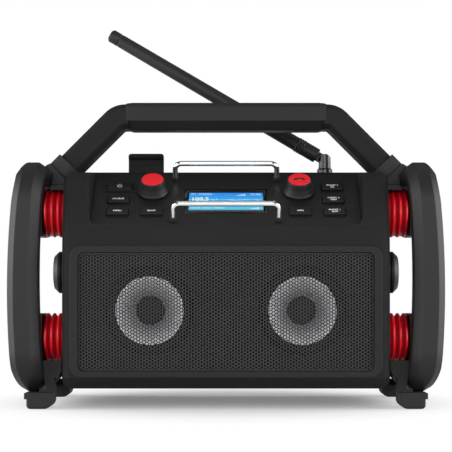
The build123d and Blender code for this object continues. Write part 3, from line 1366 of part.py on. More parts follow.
hollow_body = shell_pair()
save("front_shell", front_shell(hollow_body))
save("rear_shell", rear_shell(hollow_body))
save("shell_screws", shell_screws())
save("grille_bezel", grille_bezel())
save("grille", grille())
save("speaker_baffle", speaker_baffle())
for side_name, side_x in (("left", -1), ("right", 1)):
    save(f"speaker_basket_{side_name}", speaker_basket(side_x * SPEAKER_X))
    save(f"speaker_cone_{side_name}", speaker_cone(side_x * SPEAKER_X))
    save(f"speaker_surround_{side_name}", speaker_surround(side_x * SPEAKER_X))
    save(f"knob_{side_name}", knob(side_x * KNOB_X))
    save(f"knob_button_{side_name}", knob_cap(side_x * KNOB_X))
save("control_panel", control_panel())
save("display_window", display_window())
save("display_module", display_module())
save("panel_guard_lower", panel_guard(ROD_S[0]))
save("panel_guard_upper", panel_guard(ROD_S[1]))
save("guard_ferrules", guard_ferrules())
for key_name, key_x, key_s, key_w in key_places():
    save(key_name, key(key_x, key_s, key_w))
save("control_board", control_board())
right_buffer = side_buffer()
save("side_buffer_right", right_buffer)
save("side_buffer_left", left_of(right_buffer))
save("amplifier_board", amplifier_board())
save("battery_pack", battery_pack())
save("battery_door", battery_door())
save("door_latch", door_latch())
save("socket_plate", socket_plate())
save("socket_flap", socket_flap())
save("antenna_base", antenna_base())
save("antenna_yoke", antenna_yoke())
save("antenna_whip", antenna_whip())
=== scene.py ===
"""Jobsite radio: its looks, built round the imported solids."""

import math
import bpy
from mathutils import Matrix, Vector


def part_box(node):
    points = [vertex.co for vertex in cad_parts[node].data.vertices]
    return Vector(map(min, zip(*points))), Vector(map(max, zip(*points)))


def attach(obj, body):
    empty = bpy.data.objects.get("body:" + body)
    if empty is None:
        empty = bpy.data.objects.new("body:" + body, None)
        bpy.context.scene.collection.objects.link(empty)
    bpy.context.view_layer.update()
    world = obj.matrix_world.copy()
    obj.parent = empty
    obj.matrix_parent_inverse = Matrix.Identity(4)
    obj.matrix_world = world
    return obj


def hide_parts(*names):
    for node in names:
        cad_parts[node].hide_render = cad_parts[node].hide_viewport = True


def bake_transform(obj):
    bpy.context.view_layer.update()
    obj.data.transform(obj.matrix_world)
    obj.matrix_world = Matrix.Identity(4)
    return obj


bl_info = {
    "name": "Jobsite radio",
    "version": (1, 0, 0),
    "blender": (4, 5, 0),
    "location": "3D View > Sidebar > Radio",
    "description": "Builds the visible pieces of a jobsite radio round its packed solids",
    "category": "Add Mesh",
}

import bmesh
import bpy
from mathutils import Matrix, Vector

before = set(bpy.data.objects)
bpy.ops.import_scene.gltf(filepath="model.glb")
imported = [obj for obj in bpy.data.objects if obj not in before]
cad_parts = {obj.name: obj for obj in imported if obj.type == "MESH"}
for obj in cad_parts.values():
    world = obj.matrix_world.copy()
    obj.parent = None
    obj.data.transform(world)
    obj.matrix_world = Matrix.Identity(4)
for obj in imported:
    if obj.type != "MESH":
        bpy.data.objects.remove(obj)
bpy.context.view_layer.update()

SIDES = (("left", -1), ("right", 1))
TINY = 1e-6  # metres; points nearer than this are one
EDGE_WEAR_AND_HIGHLIGHT = 0.0011  # metres from an edge over which it is paler, with wear and a painted highlight
UNEVEN_GLOSS = 0.06  # roughness that the blotches add or take
INK = 0.00008  # metres; half the thickness of lettering
IMAGE_SIDE = 452  # pixels
IMAGE_SHIFT = 65  # pixels from the middle of the image to the height of the camera


# ---------------------------------------------------------------- colours and nodes
def linear(code):
    """Linear RGBA of an sRGB hex colour."""
    parts = [int(code[i : i + 2], 16) / 255 for i in (1, 3, 5)]
    return tuple(p / 12.92 if p < 0.04045 else ((p + 0.055) / 1.055) ** 2.4 for p in parts) + (1.0,)


def shade(colour, factor):
    """A colour made darker or lighter."""
    return tuple(channel * factor for channel in colour[:3]) + (1.0,)


def chosen(group, name):
    """Linear RGBA of a colour that the panel in the sidebar sets."""
    return (*getattr(looks(group), name), 1.0)


def add(tree, kind, sockets=None, **settings):
    """Adds a node with its settings. A socket's value may be another node's output."""
    made = tree.nodes.new(kind)
    for key, value in settings.items():
        setattr(made, key, value)
    for key, value in (sockets or {}).items():
        if isinstance(value, bpy.types.NodeSocket):
            tree.links.new(value, made.inputs[key])
        else:
            made.inputs[key].default_value = value
    return made


def skin(name, colour, roughness, **sockets):
    """New material, its nodes, its shader with the plain values on its sockets, and Object coordinates."""
    material = bpy.data.materials.new(name)
    material.use_nodes = True
    tree = material.node_tree
    shader = tree.nodes["Principled BSDF"]
    shader.inputs["Base Color"].default_value = colour
    shader.inputs["Roughness"].default_value = roughness
    for key, value in sockets.items():
        shader.inputs[key.replace("_", " ")].default_value = value
    return material, tree, shader, add(tree, "ShaderNodeTexCoord").outputs["Object"]


def per_metre(millimetres):
    """Texture scale that gives a feature of this size on Object coordinates."""
    return 1000.0 / millimetres


def worn_and_highlit_edges(tree, paint, edge):
    """Paler colour within a millimetre of an edge, where the rounded and the flat normal part: wear and a
    painted highlight.
    """
    rounded = add(tree, "ShaderNodeBevel", {"Radius": EDGE_WEAR_AND_HIGHLIGHT}, samples=4)
    flat = add(tree, "ShaderNodeNewGeometry")
    normals = {0: rounded.outputs["Normal"], 1: flat.outputs["Normal"]}
    alike = add(tree, "ShaderNodeVectorMath", normals, operation="DOT_PRODUCT").outputs["Value"]
    # wear and painted highlight: edges made paler where the rounded and the flat normal part
    wear_and_highlight = {"Value": alike, "From Min": 0.99, "From Max": 0.88, "To Max": 0.7}
    share = add(tree, "ShaderNodeMapRange", wear_and_highlight)
    mixed = add(tree, "ShaderNodeMix", {0: share.outputs["Result"], 6: paint, 7: edge}, data_type="RGBA")
    return mixed.outputs[2]


def grained(
    name, colour, roughness, blotch, grain, depth, mottle=0.1, edge=None, stretch=(1, 1, 1), **sockets
):
    """Skin with soft blotches, uneven gloss, edges paler from wear and a painted highlight, and a fine bumpy
    grain, in millimetres.
    """
    material, tree, shader, place = skin(name, colour, roughness, **sockets)
    drawn = add(tree, "ShaderNodeMapping", {"Vector": place, "Scale": stretch}).outputs["Vector"]
    clouds = add(tree, "ShaderNodeTexNoise", {"Vector": drawn, "Scale": per_metre(blotch), "Detail": 4.0})
    ramp = add(tree, "ShaderNodeValToRGB", {"Fac": clouds.outputs["Fac"]})
    low, high = ramp.color_ramp.elements
    low.position, high.position = 0.35, 0.65
    low.color, high.color = shade(colour, 1 - mottle), shade(colour, 1 + mottle)
    paint = ramp.outputs["Color"]
    # edge: paler colour along the edges, for wear and a painted highlight
    if edge:
        paint = worn_and_highlit_edges(tree, paint, edge)
    tree.links.new(paint, shader.inputs["Base Color"])
    spread = {"To Min": roughness - UNEVEN_GLOSS, "To Max": roughness + UNEVEN_GLOSS}
    gloss = add(tree, "ShaderNodeMapRange", {"Value": clouds.outputs["Fac"], **spread})
    tree.links.new(gloss.outputs["Result"], shader.inputs["Roughness"])
    grains = add(tree, "ShaderNodeTexNoise", {"Vector": drawn, "Scale": per_metre(grain), "Detail": 2.0})
    relief = {"Height": grains.outputs["Fac"], "Strength": 0.6, "Distance": depth / 1000.0}
    bump = add(tree, "ShaderNodeBump", relief)
    tree.links.new(bump.outputs["Normal"], shader.inputs["Normal"])
    return material


# Impact polypropylene, injection moulded in a spark-eroded tool: dull, nearly black, a little paler on its
# edges, from wear and a painted highlight. The grain is drawn coarser than the real 0.2 mm, so that it shows.
def guard_polypropylene():
    return grained(
        "guard_polypropylene", chosen("cage", "plastic"), 0.56, 70, 0.9, 0.03,
        edge=linear("#303032"), IOR=1.49, Specular_IOR_Level=0.24,
    )


# ABS housing, injection moulded and textured: even satin black with a fine grain.
def housing_abs():
    return grained(
        "housing_abs", chosen("body", "housing"), 0.66, 90, 0.8, 0.025,
        edge=linear("#28282A"), IOR=1.53, Specular_IOR_Level=0.1,
    )


# ABS frame, moulded with the same grain as the shells, in a slightly greyer black.
def bezel_abs():
    return grained(
        "bezel_abs", chosen("body", "bezel"), 0.6, 90, 0.8, 0.025,
        edge=linear("#303032"), IOR=1.53, Specular_IOR_Level=0.15,
    )


# ABS panel, knobs and socket plate, moulded in a smoother tool: darker and slightly glossier than
# the housing.
def panel_abs():
    return grained(
        "panel_abs", chosen("body", "panel"), 0.5, 60, 0.7, 0.02,
        edge=linear("#222224"), IOR=1.53, Specular_IOR_Level=0.24,
    )


# Polished ABS frame and display housing: black with a clear reflection.
def polished_abs():
    return grained("polished_abs", linear("#0E0E0F"), 0.16, 40, 2.0, 0.004, IOR=1.53)


# Steel sheet, punched and powder coated: faint orange peel about 1.5 mm across.
def grille_powder_coat():
    return grained(
        "grille_powder_coat", chosen("grille", "sheet"), 0.6, 50, 1.5, 0.02,
        IOR=1.5, Specular_IOR_Level=0.25,
    )


# Aluminium tube under black powder coat: satin, with a faint orange peel.
def handle_powder_coat():
    return grained(
        "handle_powder_coat", chosen("cage", "tube"), 0.6, 80, 1.6, 0.03,
        edge=linear("#28282A"), IOR=1.5, Specular_IOR_Level=0.1,
    )


# Soft-touch rubber over the grip, compression moulded: dull and dark.
def grip_rubber():
    return grained(
        "grip_rubber", linear("#151516"), 0.65, 40, 1.1, 0.05, IOR=1.52, Specular_IOR_Level=0.22,
    )


# Glass-filled nylon brackets and collars: slightly mottled, dull, with edges paler from wear and a painted
# highlight.
def bracket_nylon():
    return grained(
        "bracket_nylon", linear("#161617"), 0.58, 25, 0.8, 0.04,
        edge=linear("#2C2C2E"), IOR=1.53, Specular_IOR_Level=0.24,
    )


# Moulded rubber feet: matt, faintly dusty.
def foot_rubber():
    return grained(
        "foot_rubber", chosen("cage", "feet"), 0.7, 18, 1.2, 0.06,
        edge=linear("#2C2C2E"), IOR=1.52, Specular_IOR_Level=0.22,
    )


# Natural rubber buffers, flap, ferrules, bellows seats and antenna tongue: deep black, softly shining.
def black_rubber():
    return grained("black_rubber", linear("#101011"), 0.52, 25, 1.0, 0.03, IOR=1.52, Specular_IOR_Level=0.25)


# Rubber sleeve of the whip, extruded: dull black with fine lines along it.
def whip_rubber():
    return grained("whip_rubber", linear("#161617"), 0.55, 30, 1.2, 0.02, IOR=1.52, Specular_IOR_Level=0.25)


# Red silicone rubber, compression moulded: saturated, with a soft shine along the ridges.
def bellows_silicone():
    return grained(
        "bellows_silicone", chosen("cage", "bellows"), 0.4, 20, 1.4, 0.02, mottle=0.06,
        IOR=1.43, Specular_IOR_Level=0.32,
    )


# Zinc-plated steel screws: grey, finely turned.
def zinc_steel():
    return grained("zinc_steel", linear("#97989A"), 0.32, 6, 0.6, 0.01, Metallic=1.0)


# Steel rod, polished and chrome plated: a mirror with a trace of buffing.
def polished_chrome():
    return grained("polished_chrome", linear("#DCDDDF"), 0.09, 30, 3.0, 0.002, mottle=0.02, Metallic=1.0)


# Nickel-plated brass base and fork, turned: dark grey metal with fine lines round it.
def turned_nickel():
    return grained(
        "turned_nickel", linear("#343436"), 0.3, 5, 0.5, 0.02, mottle=0.15, stretch=(1, 1, 6), Metallic=1.0
    )


# Red ABS caps, moulded: flat bright red with a soft gloss.
def cap_abs():
    return grained(
        "cap_abs", chosen("controls", "button"), 0.5, 12, 1.2, 0.01, mottle=0.03,
        IOR=1.53, Specular_IOR_Level=0.2,
    )


# Silicone rubber keys: matt black.
def key_silicone():
    return grained(
        "key_silicone", linear("#111112"), 0.5, 12, 0.7, 0.03,
        edge=linear("#2A2A2C"), IOR=1.43, Specular_IOR_Level=0.28,
    )


# White ink, pad printed on the keys: dull grey white, thinner in places.
def key_ink():
    return grained("key_ink", chosen("controls", "ink"), 0.6, 1.5, 0.5, 0.005)


# Black ink, pad printed on a cap and on the panel.
def cap_ink():
    return grained("cap_ink", linear("#131313"), 0.45, 2, 0.6, 0.005)


# Clear acrylic window, cut from cast sheet and polished.
def window_acrylic():
    material, tree, shader, place = skin(
        "window_acrylic", linear("#F4F8FC"), 0.02, IOR=1.49, Transmission_Weight=1.0
    )
    waves = add(tree, "ShaderNodeTexNoise", {"Vector": place, "Scale": per_metre(30), "Detail": 1.0})
    relief = {"Height": waves.outputs["Fac"], "Strength": 0.1, "Distance": 0.00005}
    bump = add(tree, "ShaderNodeBump", relief)
    tree.links.new(bump.outputs["Normal"], shader.inputs["Normal"])
    return material


# Backlit liquid crystal: blue that turns towards cyan at the foot, with the faint net of its dots.
def lcd_backlight():
    material, tree, shader, place = skin("lcd_backlight", linear("#06121C"), 0.3, Emission_Strength=1.0)
    parts = add(tree, "ShaderNodeSeparateXYZ", {"Vector": place})
    low, high = [on_panel(0, s).translation.z for s in SCREEN_S]
    rise = {"Value": parts.outputs["Z"], "From Min": low, "From Max": high}
    share = add(tree, "ShaderNodeMapRange", rise)
    ramp = add(tree, "ShaderNodeValToRGB", {"Fac": share.outputs["Result"]})
    ramp.color_ramp.elements[0].color = chosen("controls", "screen_foot")
    ramp.color_ramp.elements[1].color = chosen("controls", "screen_head")
    cells = {"Vector": place, "Scale": per_metre(0.8)}
    dots = add(tree, "ShaderNodeTexVoronoi", cells, distance="CHEBYCHEV")
    net = add(tree, "ShaderNodeMapRange", {"Value": dots.outputs["Distance"], "To Min": 1.0, "To Max": 0.86})
    dimmed = {0: ramp.outputs["Color"], "Scale": net.outputs["Result"]}
    lit = add(tree, "ShaderNodeVectorMath", dimmed, operation="SCALE")
    tree.links.new(lit.outputs["Vector"], shader.inputs["Emission Color"])
    return material


# Lit characters of the liquid crystal: pale, almost white.
def lcd_characters():
    material, tree, shader, place = skin("lcd_characters", linear("#16222C"), 0.3, Emission_Strength=0.95)
    dots = add(tree, "ShaderNodeTexNoise", {"Vector": place, "Scale": per_metre(1.2)})
    ramp = add(tree, "ShaderNodeValToRGB", {"Fac": dots.outputs["Fac"]})
    ramp.color_ramp.elements[0].color = linear("#C8EEF6")
    ramp.color_ramp.elements[1].color = linear("#F2FCF0")
    tree.links.new(ramp.outputs["Color"], shader.inputs["Emission Color"])
    return material


# Glass-epoxy board under green solder mask: tracks show as paler lines about 8 mm apart.
def circuit_board():
    material, tree, shader, place = skin("circuit_board", linear("#0F3A22"), 0.35, IOR=1.55)
    colours = {"Color1": linear("#0F3A22"), "Color2": linear("#123F27"), "Mortar": linear("#2A6B45")}
    tracks = add(
        tree, "ShaderNodeTexBrick", {"Vector": place, "Scale": per_metre(8), "Mortar Size": 0.06, **colours}
    )
    tree.links.new(tracks.outputs["Color"], shader.inputs["Base Color"])
    return material


# Fibreboard baffle, rolled with black paint: dull, with faint fibres.
def baffle_paint():
    return grained(
        "baffle_paint", linear("#141414"), 0.8, 10, 1.5, 0.08, stretch=(1, 1, 0.3),
        IOR=1.5, Specular_IOR_Level=0.2,
    )


# Pressed steel basket, ferrite and coil: black paint, softly shining.
def basket_paint():
    return grained("basket_paint", linear("#171718"), 0.45, 15, 1.2, 0.02, IOR=1.5)


# Butyl rubber surround and coated dust cap: deep black, with little shine.
def surround_butyl():
    return grained("surround_butyl", linear("#070707"), 0.65, 12, 1.0, 0.03, IOR=1.52, Specular_IOR_Level=0.2)


# Polypropylene cone with a silver coat: bright and smooth at the rim. Painted shade darkens it towards the
# neck, which lies deeper in the speaker.
def cone_silver():
    coat = chosen("grille", "cone_coat")
    material, tree, shader, place = skin("cone_silver", coat, 0.55, IOR=1.5)
    parts = add(tree, "ShaderNodeSeparateXYZ", {"Vector": place})
    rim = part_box("speaker_cone_left")[0].y
    fade = 0.0150  # behind the rim, over which the painted shade deepens to its darkest
    reach = {"Value": parts.outputs["Y"], "From Min": rim, "From Max": rim + fade}
    depth = add(tree, "ShaderNodeMapRange", reach)
    ramp = add(tree, "ShaderNodeValToRGB", {"Fac": depth.outputs["Result"]})
    # painted shade: the coat's colour at the rim, darkening to about a quarter of it at the neck
    ramp.color_ramp.elements[0].color = coat
    ramp.color_ramp.elements[1].color = shade(coat, 0.26)
    tree.links.new(ramp.outputs["Color"], shader.inputs["Base Color"])
    weave = add(tree, "ShaderNodeTexNoise", {"Vector": place, "Scale": per_metre(3), "Detail": 2.0})
    relief = {"Height": weave.outputs["Fac"], "Strength": 0.4, "Distance": 0.00001}
    bump = add(tree, "ShaderNodeBump", relief)
    tree.links.new(bump.outputs["Normal"], shader.inputs["Normal"])
    return material


# Heat-shrunk film round the cells: dark blue, glossy, faintly wrinkled.
def battery_film():
    return grained("battery_film", linear("#171C30"), 0.25, 14, 6.0, 0.2, IOR=1.57)


MATERIALS = {}


def finish(maker):
    """What a material's function makes, made once."""
    if maker not in MATERIALS:
        MATERIALS[maker] = maker()
    return MATERIALS[maker]


def dress_node(node, maker):
    """Gives a CAD node its finish and leaves its shape."""
    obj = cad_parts[node]
    obj.data.materials.clear()
    obj.data.materials.append(finish(maker))


# ---------------------------------------------------------------- making pieces
def finished(name, bm, maker, body, replaces=(), sharp=35, closed=True):
    """Makes the piece of a bmesh: one skin, normals outwards, smooth but for its edges."""
    if closed:
        bmesh.ops.remove_doubles(bm, verts=bm.verts, dist=TINY)
        bmesh.ops.recalc_face_normals(bm, faces=bm.faces)
    mesh = bpy.data.meshes.new(name)
    bm.to_mesh(mesh)
    bm.free()
    mesh.polygons.foreach_set("use_smooth", [True] * len(mesh.polygons))
    mesh.set_sharp_from_angle(angle=math.radians(sharp))
    mesh.materials.append(finish(maker))
    obj = bpy.data.objects.new(name, mesh)
    bpy.context.scene.collection.objects.link(obj)
    if body:
        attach(obj, body)
    if replaces:
        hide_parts(*replaces)
    return obj


def everything(bm):
    """All that a bmesh holds."""
    return bm.verts[:] + bm.edges[:] + bm.faces[:]


def only_verts(items):
    """The vertices in what an operator gave back."""
    return [g for g in items if isinstance(g, bmesh.types.BMVert)]


def cad_copy(node):
    """A merged copy of a CAD node's mesh, with its flat faces joined."""
    bm = bmesh.new()
    bm.from_mesh(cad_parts[node].data)
    bmesh.ops.remove_doubles(bm, verts=bm.verts, dist=1e-5)
    bmesh.ops.dissolve_limit(
        bm, angle_limit=math.radians(0.6), use_dissolve_boundaries=False, verts=bm.verts, edges=bm.edges
    )
    return bm


def softened(obj, width, angle=28, harden=True, clamp=False):
    """Rounds a piece's edges with a live bevel."""
    soften = obj.modifiers.new("edges", "BEVEL")
    soften.width = width
    soften.segments = 2
    soften.limit_method = "ANGLE"
    soften.angle_limit = math.radians(angle)
    soften.use_clamp_overlap = clamp
    soften.harden_normals = harden


def recut(node, maker, body, edge=0.0006, angle=28, shape=None, clamp=False):
    """Makes a piece that is the CAD node's shape with its edges rounded."""
    bm = cad_copy(node)
    if shape:
        shape(bm)
    obj = finished(node + "_moulding", bm, maker, body, (node,), sharp=angle, closed=False)
    own_normals = obj.data.attributes.get("custom_normal")
    if own_normals:
        obj.data.attributes.remove(own_normals)
    softened(obj, edge, angle=angle, clamp=clamp)


def walled(obj, thickness):
    """Gives an open sheet its wall, behind its face."""
    wall = obj.modifiers.new("wall", "SOLIDIFY")
    wall.thickness = thickness
    wall.offset = -1


def spun(profile, steps=64, closed=False, soften=0.0, cuts=3):
    """Full turn of (radius, height) points round the local z axis, its corners rounded first."""
    bm = bmesh.new()
    verts = [bm.verts.new((r, 0, h)) for r, h in profile]
    pairs = list(zip(verts, verts[1:]))
    if closed:
        pairs.append((verts[-1], verts[0]))
    for pair in pairs:
        bm.edges.new(pair)
    if soften:
        inner = [v for v in verts if len(v.link_edges) == 2]
        bmesh.ops.bevel(
            bm, geom=inner, offset=soften, offset_type="OFFSET", segments=cuts, profile=0.5,
            affect="VERTICES", material=-1, clamp_overlap=True,
        )
    bmesh.ops.spin(
        bm, geom=bm.verts[:] + bm.edges[:], cent=(0, 0, 0), axis=(0, 0, 1), angle=2 * math.pi,
        steps=steps, use_merge=True, use_duplicate=False,
    )
    bmesh.ops.remove_doubles(bm, verts=bm.verts, dist=TINY)
    return bm


def round_edges(bm, edges, radius, segments=3):
    """Rounds some edges of a bmesh."""
    bmesh.ops.bevel(
        bm, geom=edges, offset=radius, offset_type="OFFSET", segments=segments, profile=0.5,
        affect="EDGES", material=-1, clamp_overlap=True,
    )


def upright(edge):
    """Whether an edge runs along the local z axis."""
    return abs(edge.verts[0].co.z - edge.verts[1].co.z) > TINY


def block(size, soften=0.0, segments=3, place=None, edges=None):
    """Box of a size round its own middle, its edges rounded, then put in place."""
    bm = bmesh.new()
    bmesh.ops.create_cube(bm, size=1.0)
    bmesh.ops.scale(bm, vec=size, verts=bm.verts)
    if soften:
        round_edges(bm, [e for e in bm.edges if edges is None or edges(e)], soften, segments)
    return moved(bm, place) if place else bm


def moved(bm, matrix):
    """Puts a bmesh in its place."""
    bmesh.ops.transform(bm, matrix=matrix, verts=bm.verts)
    return bm


def joined(*parts):
    """One bmesh of several."""
    whole = bmesh.new()
    for part in parts:
        spare = bpy.data.meshes.new("spare")
        part.to_mesh(spare)
        part.free()
        whole.from_mesh(spare)
        bpy.data.meshes.remove(spare)
    return whole


def row(bm, count, step):
    """Repeats what a bmesh holds along a line."""
    first = everything(bm)
    for i in range(1, count):
        copy = bmesh.ops.duplicate(bm, geom=first)["geom"]
        bmesh.ops.translate(bm, vec=Vector(step) * i, verts=only_verts(copy))
    return bm


def frame_of(*loops):
    """Sheet through rectangles, each (half width, low, high, height), from the outer one inwards."""
    bm = bmesh.new()
    for half, low, high, h in loops:
        grid = bmesh.ops.create_grid(bm, x_segments=1, y_segments=1, size=0.5)["verts"]
        bmesh.ops.scale(bm, vec=(2 * half, high - low, 1), verts=grid)
        bmesh.ops.translate(bm, vec=(0, (low + high) / 2, h), verts=grid)
    bmesh.ops.delete(bm, geom=bm.faces[:], context="FACES_ONLY")
    rings = [list(bm.edges)[i : i + 4] for i in range(0, len(bm.edges), 4)]
    for outer, inner in zip(rings, rings[1:]):
        bmesh.ops.bridge_loops(bm, edges=outer + inner)
    return bm


def lettering(words, height, place, align="CENTER", bold=0.0):
    """Raised words as a bmesh, in the plane of a place's x and y."""
    curve = bpy.data.curves.new("words", "FONT")
    curve.body = words
    curve.size = height
    curve.extrude = INK
    curve.offset = bold
    curve.align_x = align
    curve.align_y = "CENTER"
    curve.resolution_u = 2
    carrier = bpy.data.objects.new("words", curve)
    bpy.context.scene.collection.objects.link(carrier)
    bpy.context.view_layer.update()
    mesh = bpy.data.meshes.new_from_object(carrier)
    bpy.data.objects.remove(carrier)
    bm = bmesh.new()
    bm.from_mesh(mesh)
    bpy.data.meshes.remove(mesh)
    return moved(bm, place)


def arc(inner, outer, start, sweep, steps):
    """Flat printed arc about the local z axis, in degrees from the y axis."""
    bm = bmesh.new()
    corners = [(0, r, h) for r, h in ((inner, 0), (outer, 0), (outer, 0.0001), (inner, 0.0001))]
    bm.faces.new([bm.verts.new(corner) for corner in corners])
    turn = Matrix.Rotation(math.radians(start), 3, "Z")
    bmesh.ops.rotate(bm, cent=(0, 0, 0), matrix=turn, verts=bm.verts)
    bmesh.ops.spin(
        bm, geom=everything(bm), cent=(0, 0, 0), axis=(0, 0, 1), angle=math.radians(sweep), steps=steps
    )
    return bm


def along_y(x, y, z):
    """Place whose z axis points out of the front of the radio."""
    return Matrix.Translation((x, y, z)) @ Matrix.Rotation(math.radians(90), 4, "X")


def along_x(x, y, z, side):
    """Place whose z axis points out of the radio's side."""
    return Matrix.Translation((x, y, z)) @ Matrix.Rotation(math.radians(90 * side), 4, "Y")


PANEL_FOOT = Vector((0, -0.101335, 0.1854))
PANEL_ANGLE = math.radians(37.09)
SCREEN_S = (0.0304, 0.0620)  # lit screen, up the panel


def on_panel(x, s, h=0.0):
    """Place on the sloping panel: x across, s up the slope, h out of it."""
    slope = Matrix.Rotation(PANEL_ANGLE, 4, "X")
    return Matrix.Translation(PANEL_FOOT) @ slope @ Matrix.Translation((x, s, h))


# ---------------------------------------------------------------- sizes and colours a user would change
def length(name, description, default):
    return bpy.props.FloatProperty(
        name=name, description=description, default=default, unit="LENGTH", precision=5
    )


def number(name, description, default):
    return bpy.props.IntProperty(name=name, description=description, default=default)


def colour(name, description, default):
    return bpy.props.FloatVectorProperty(
        name=name, description=description, default=linear(default)[:3], subtype="COLOR", min=0, max=1
    )


class CageLooks(bpy.types.PropertyGroup):
    """Guards, bellows, feet and handle."""

    plastic: colour("Guards", "Colour of the side guards", "#171719")
    tube: colour("Handle", "Colour of the handle's tube", "#171718")
    feet: colour("Feet", "Colour of the feet", "#1A1A1B")
    bellows: colour("Bellows", "Colour of the rubber bellows", "#B80B1B")
    edge: length("Edge radius", "Rounding of the moulded edges", 0.0007)
    guard_edge: length("Guard edge", "Rounding of the side guards' edges", 0.0008)
    ridge: length("Ridge radius", "Bellows, at the ridges", 0.0265)
    root: length("Groove radius", "Bellows, at the grooves", 0.0225)
    ridges: number("Ridges", "Ridges of each bellows", 4)
    cup: length("Cup width", "Black seat at the body's end of a bellows", 0.0018)
    taper: length("Grip taper", "Length over which the grip's ends draw in", 0.007)


class BodyLooks(bpy.types.PropertyGroup):
    """Shells and control panel."""

    housing: colour("Housing", "Colour of the shells", "#171718")
    bezel: colour("Grille frame", "Colour of the frame round the grille", "#18181A")
    panel: colour("Panel", "Colour of the control panel", "#101011")
    edge: length("Edge radius", "Rounding of the shells' edges", 0.0004)


class GrilleLooks(bpy.types.PropertyGroup):
    """Perforated sheet and the speakers behind it."""

    sheet: colour("Sheet", "Colour of the perforated sheet", "#29292B")
    cone_coat: colour("Cones", "Colour of the speaker cones", "#FAFAFC")
    across: length("Column pitch", "Spacing of the columns of holes", 0.0029)
    up: length("Row pitch", "Spacing of the holes in a column", 0.0034)
    hole: length("Hole", "Diameter of a hole", 0.0026)
    rim: length("Rim", "Plain edge round the holes", 0.0016)
    cone: length("Cone", "Radius of the silver cone", 0.0347)
    cap: length("Dust cap", "Radius of the dust cap", 0.0140)


class ControlLooks(bpy.types.PropertyGroup):
    """Knobs, keys, display and guard rods."""

    button: colour("Buttons", "Colour of the caps in the knobs", "#C0141E")
    ink: colour("Captions", "Colour of the captions on the keys", "#BABABC")
    screen_head: colour("Screen, top", "Colour of the lit screen at its top", "#1E86F0")
    screen_foot: colour("Screen, foot", "Colour of the lit screen at its foot", "#38C6EC")
    knob_x: length("Knob place", "Knob from the middle of the panel", 0.076)
    knob_s: length("Knob height", "Knob above the panel's lower edge", 0.0608)
    key_x: length("Key place", "Outer keys from the middle of the panel", 0.111)
    key_low: length("Lower keys", "Lowest keys above the panel's lower edge", 0.0232)
    key_mid: length("Middle keys", "Middle keys above the panel's lower edge", 0.0452)
    key_high: length("Upper keys", "Highest keys above the panel's lower edge", 0.0688)
    key_w: length("Key width", "Width of a plain key", 0.0224)
    key_d: length("Key depth", "Depth of a key", 0.0122)
    key_h: length("Key height", "Key above the panel", 0.0030)
    rod_x: length("Rod foot", "Foot of a guard rod from the middle", 0.0533)
    rod_low: length("Lower rod", "Lower guard rod above the panel's lower edge", 0.0083)
    rod_high: length("Upper rod", "Upper guard rod above the panel's lower edge", 0.0840)
    rod_r: length("Rod radius", "Radius of a guard rod", 0.00275)
    rod_h: length("Rod height", "Middle of a rod above the panel", 0.0205)
    caption: length("Caption", "Size of the captions on the keys", 0.0031)


class AntennaLooks(bpy.types.PropertyGroup):
    """Rubber whip and its fork."""

    radius: length("Whip radius", "Whip near its foot", 0.0081)
    tip: length("Tip radius", "Whip near its tip", 0.0072)
    reach: length("Whip length", "From the elbow pin to the tip", 0.277)


GROUPS = {
    "cage": CageLooks,
    "body": BodyLooks,
    "grille": GrilleLooks,
    "controls": ControlLooks,
    "antenna": AntennaLooks,
}


def looks(name):
    """The sizes and colours of a group, as the sidebar holds them."""
    return getattr(bpy.context.scene, "radio_" + name)


class Undoable:
    """Lets a user undo a step."""

    bl_options = {"REGISTER", "UNDO"}


# ---------------------------------------------------------------- cage
class RADIO_OT_guards(Undoable, bpy.types.Operator):
    """Side guards, brackets, collars and feet, with rounded edges"""

    bl_idname = "radio.guards"
    bl_label = "Guards and feet"

    def execute(self, context):
        size = looks("cage")
        for side, _ in SIDES:
            recut(f"guard_{side}", guard_polypropylene, "cage", size.guard_edge, 14)
            for part in ("bracket", "collar"):
                recut(f"handle_{part}_{side}", bracket_nylon, "cage", size.edge, 50)
            for end in ("front", "rear"):
                recut(f"foot_{end}_{side}", foot_rubber, "cage", size.edge, clamp=True)
        return {"FINISHED"}


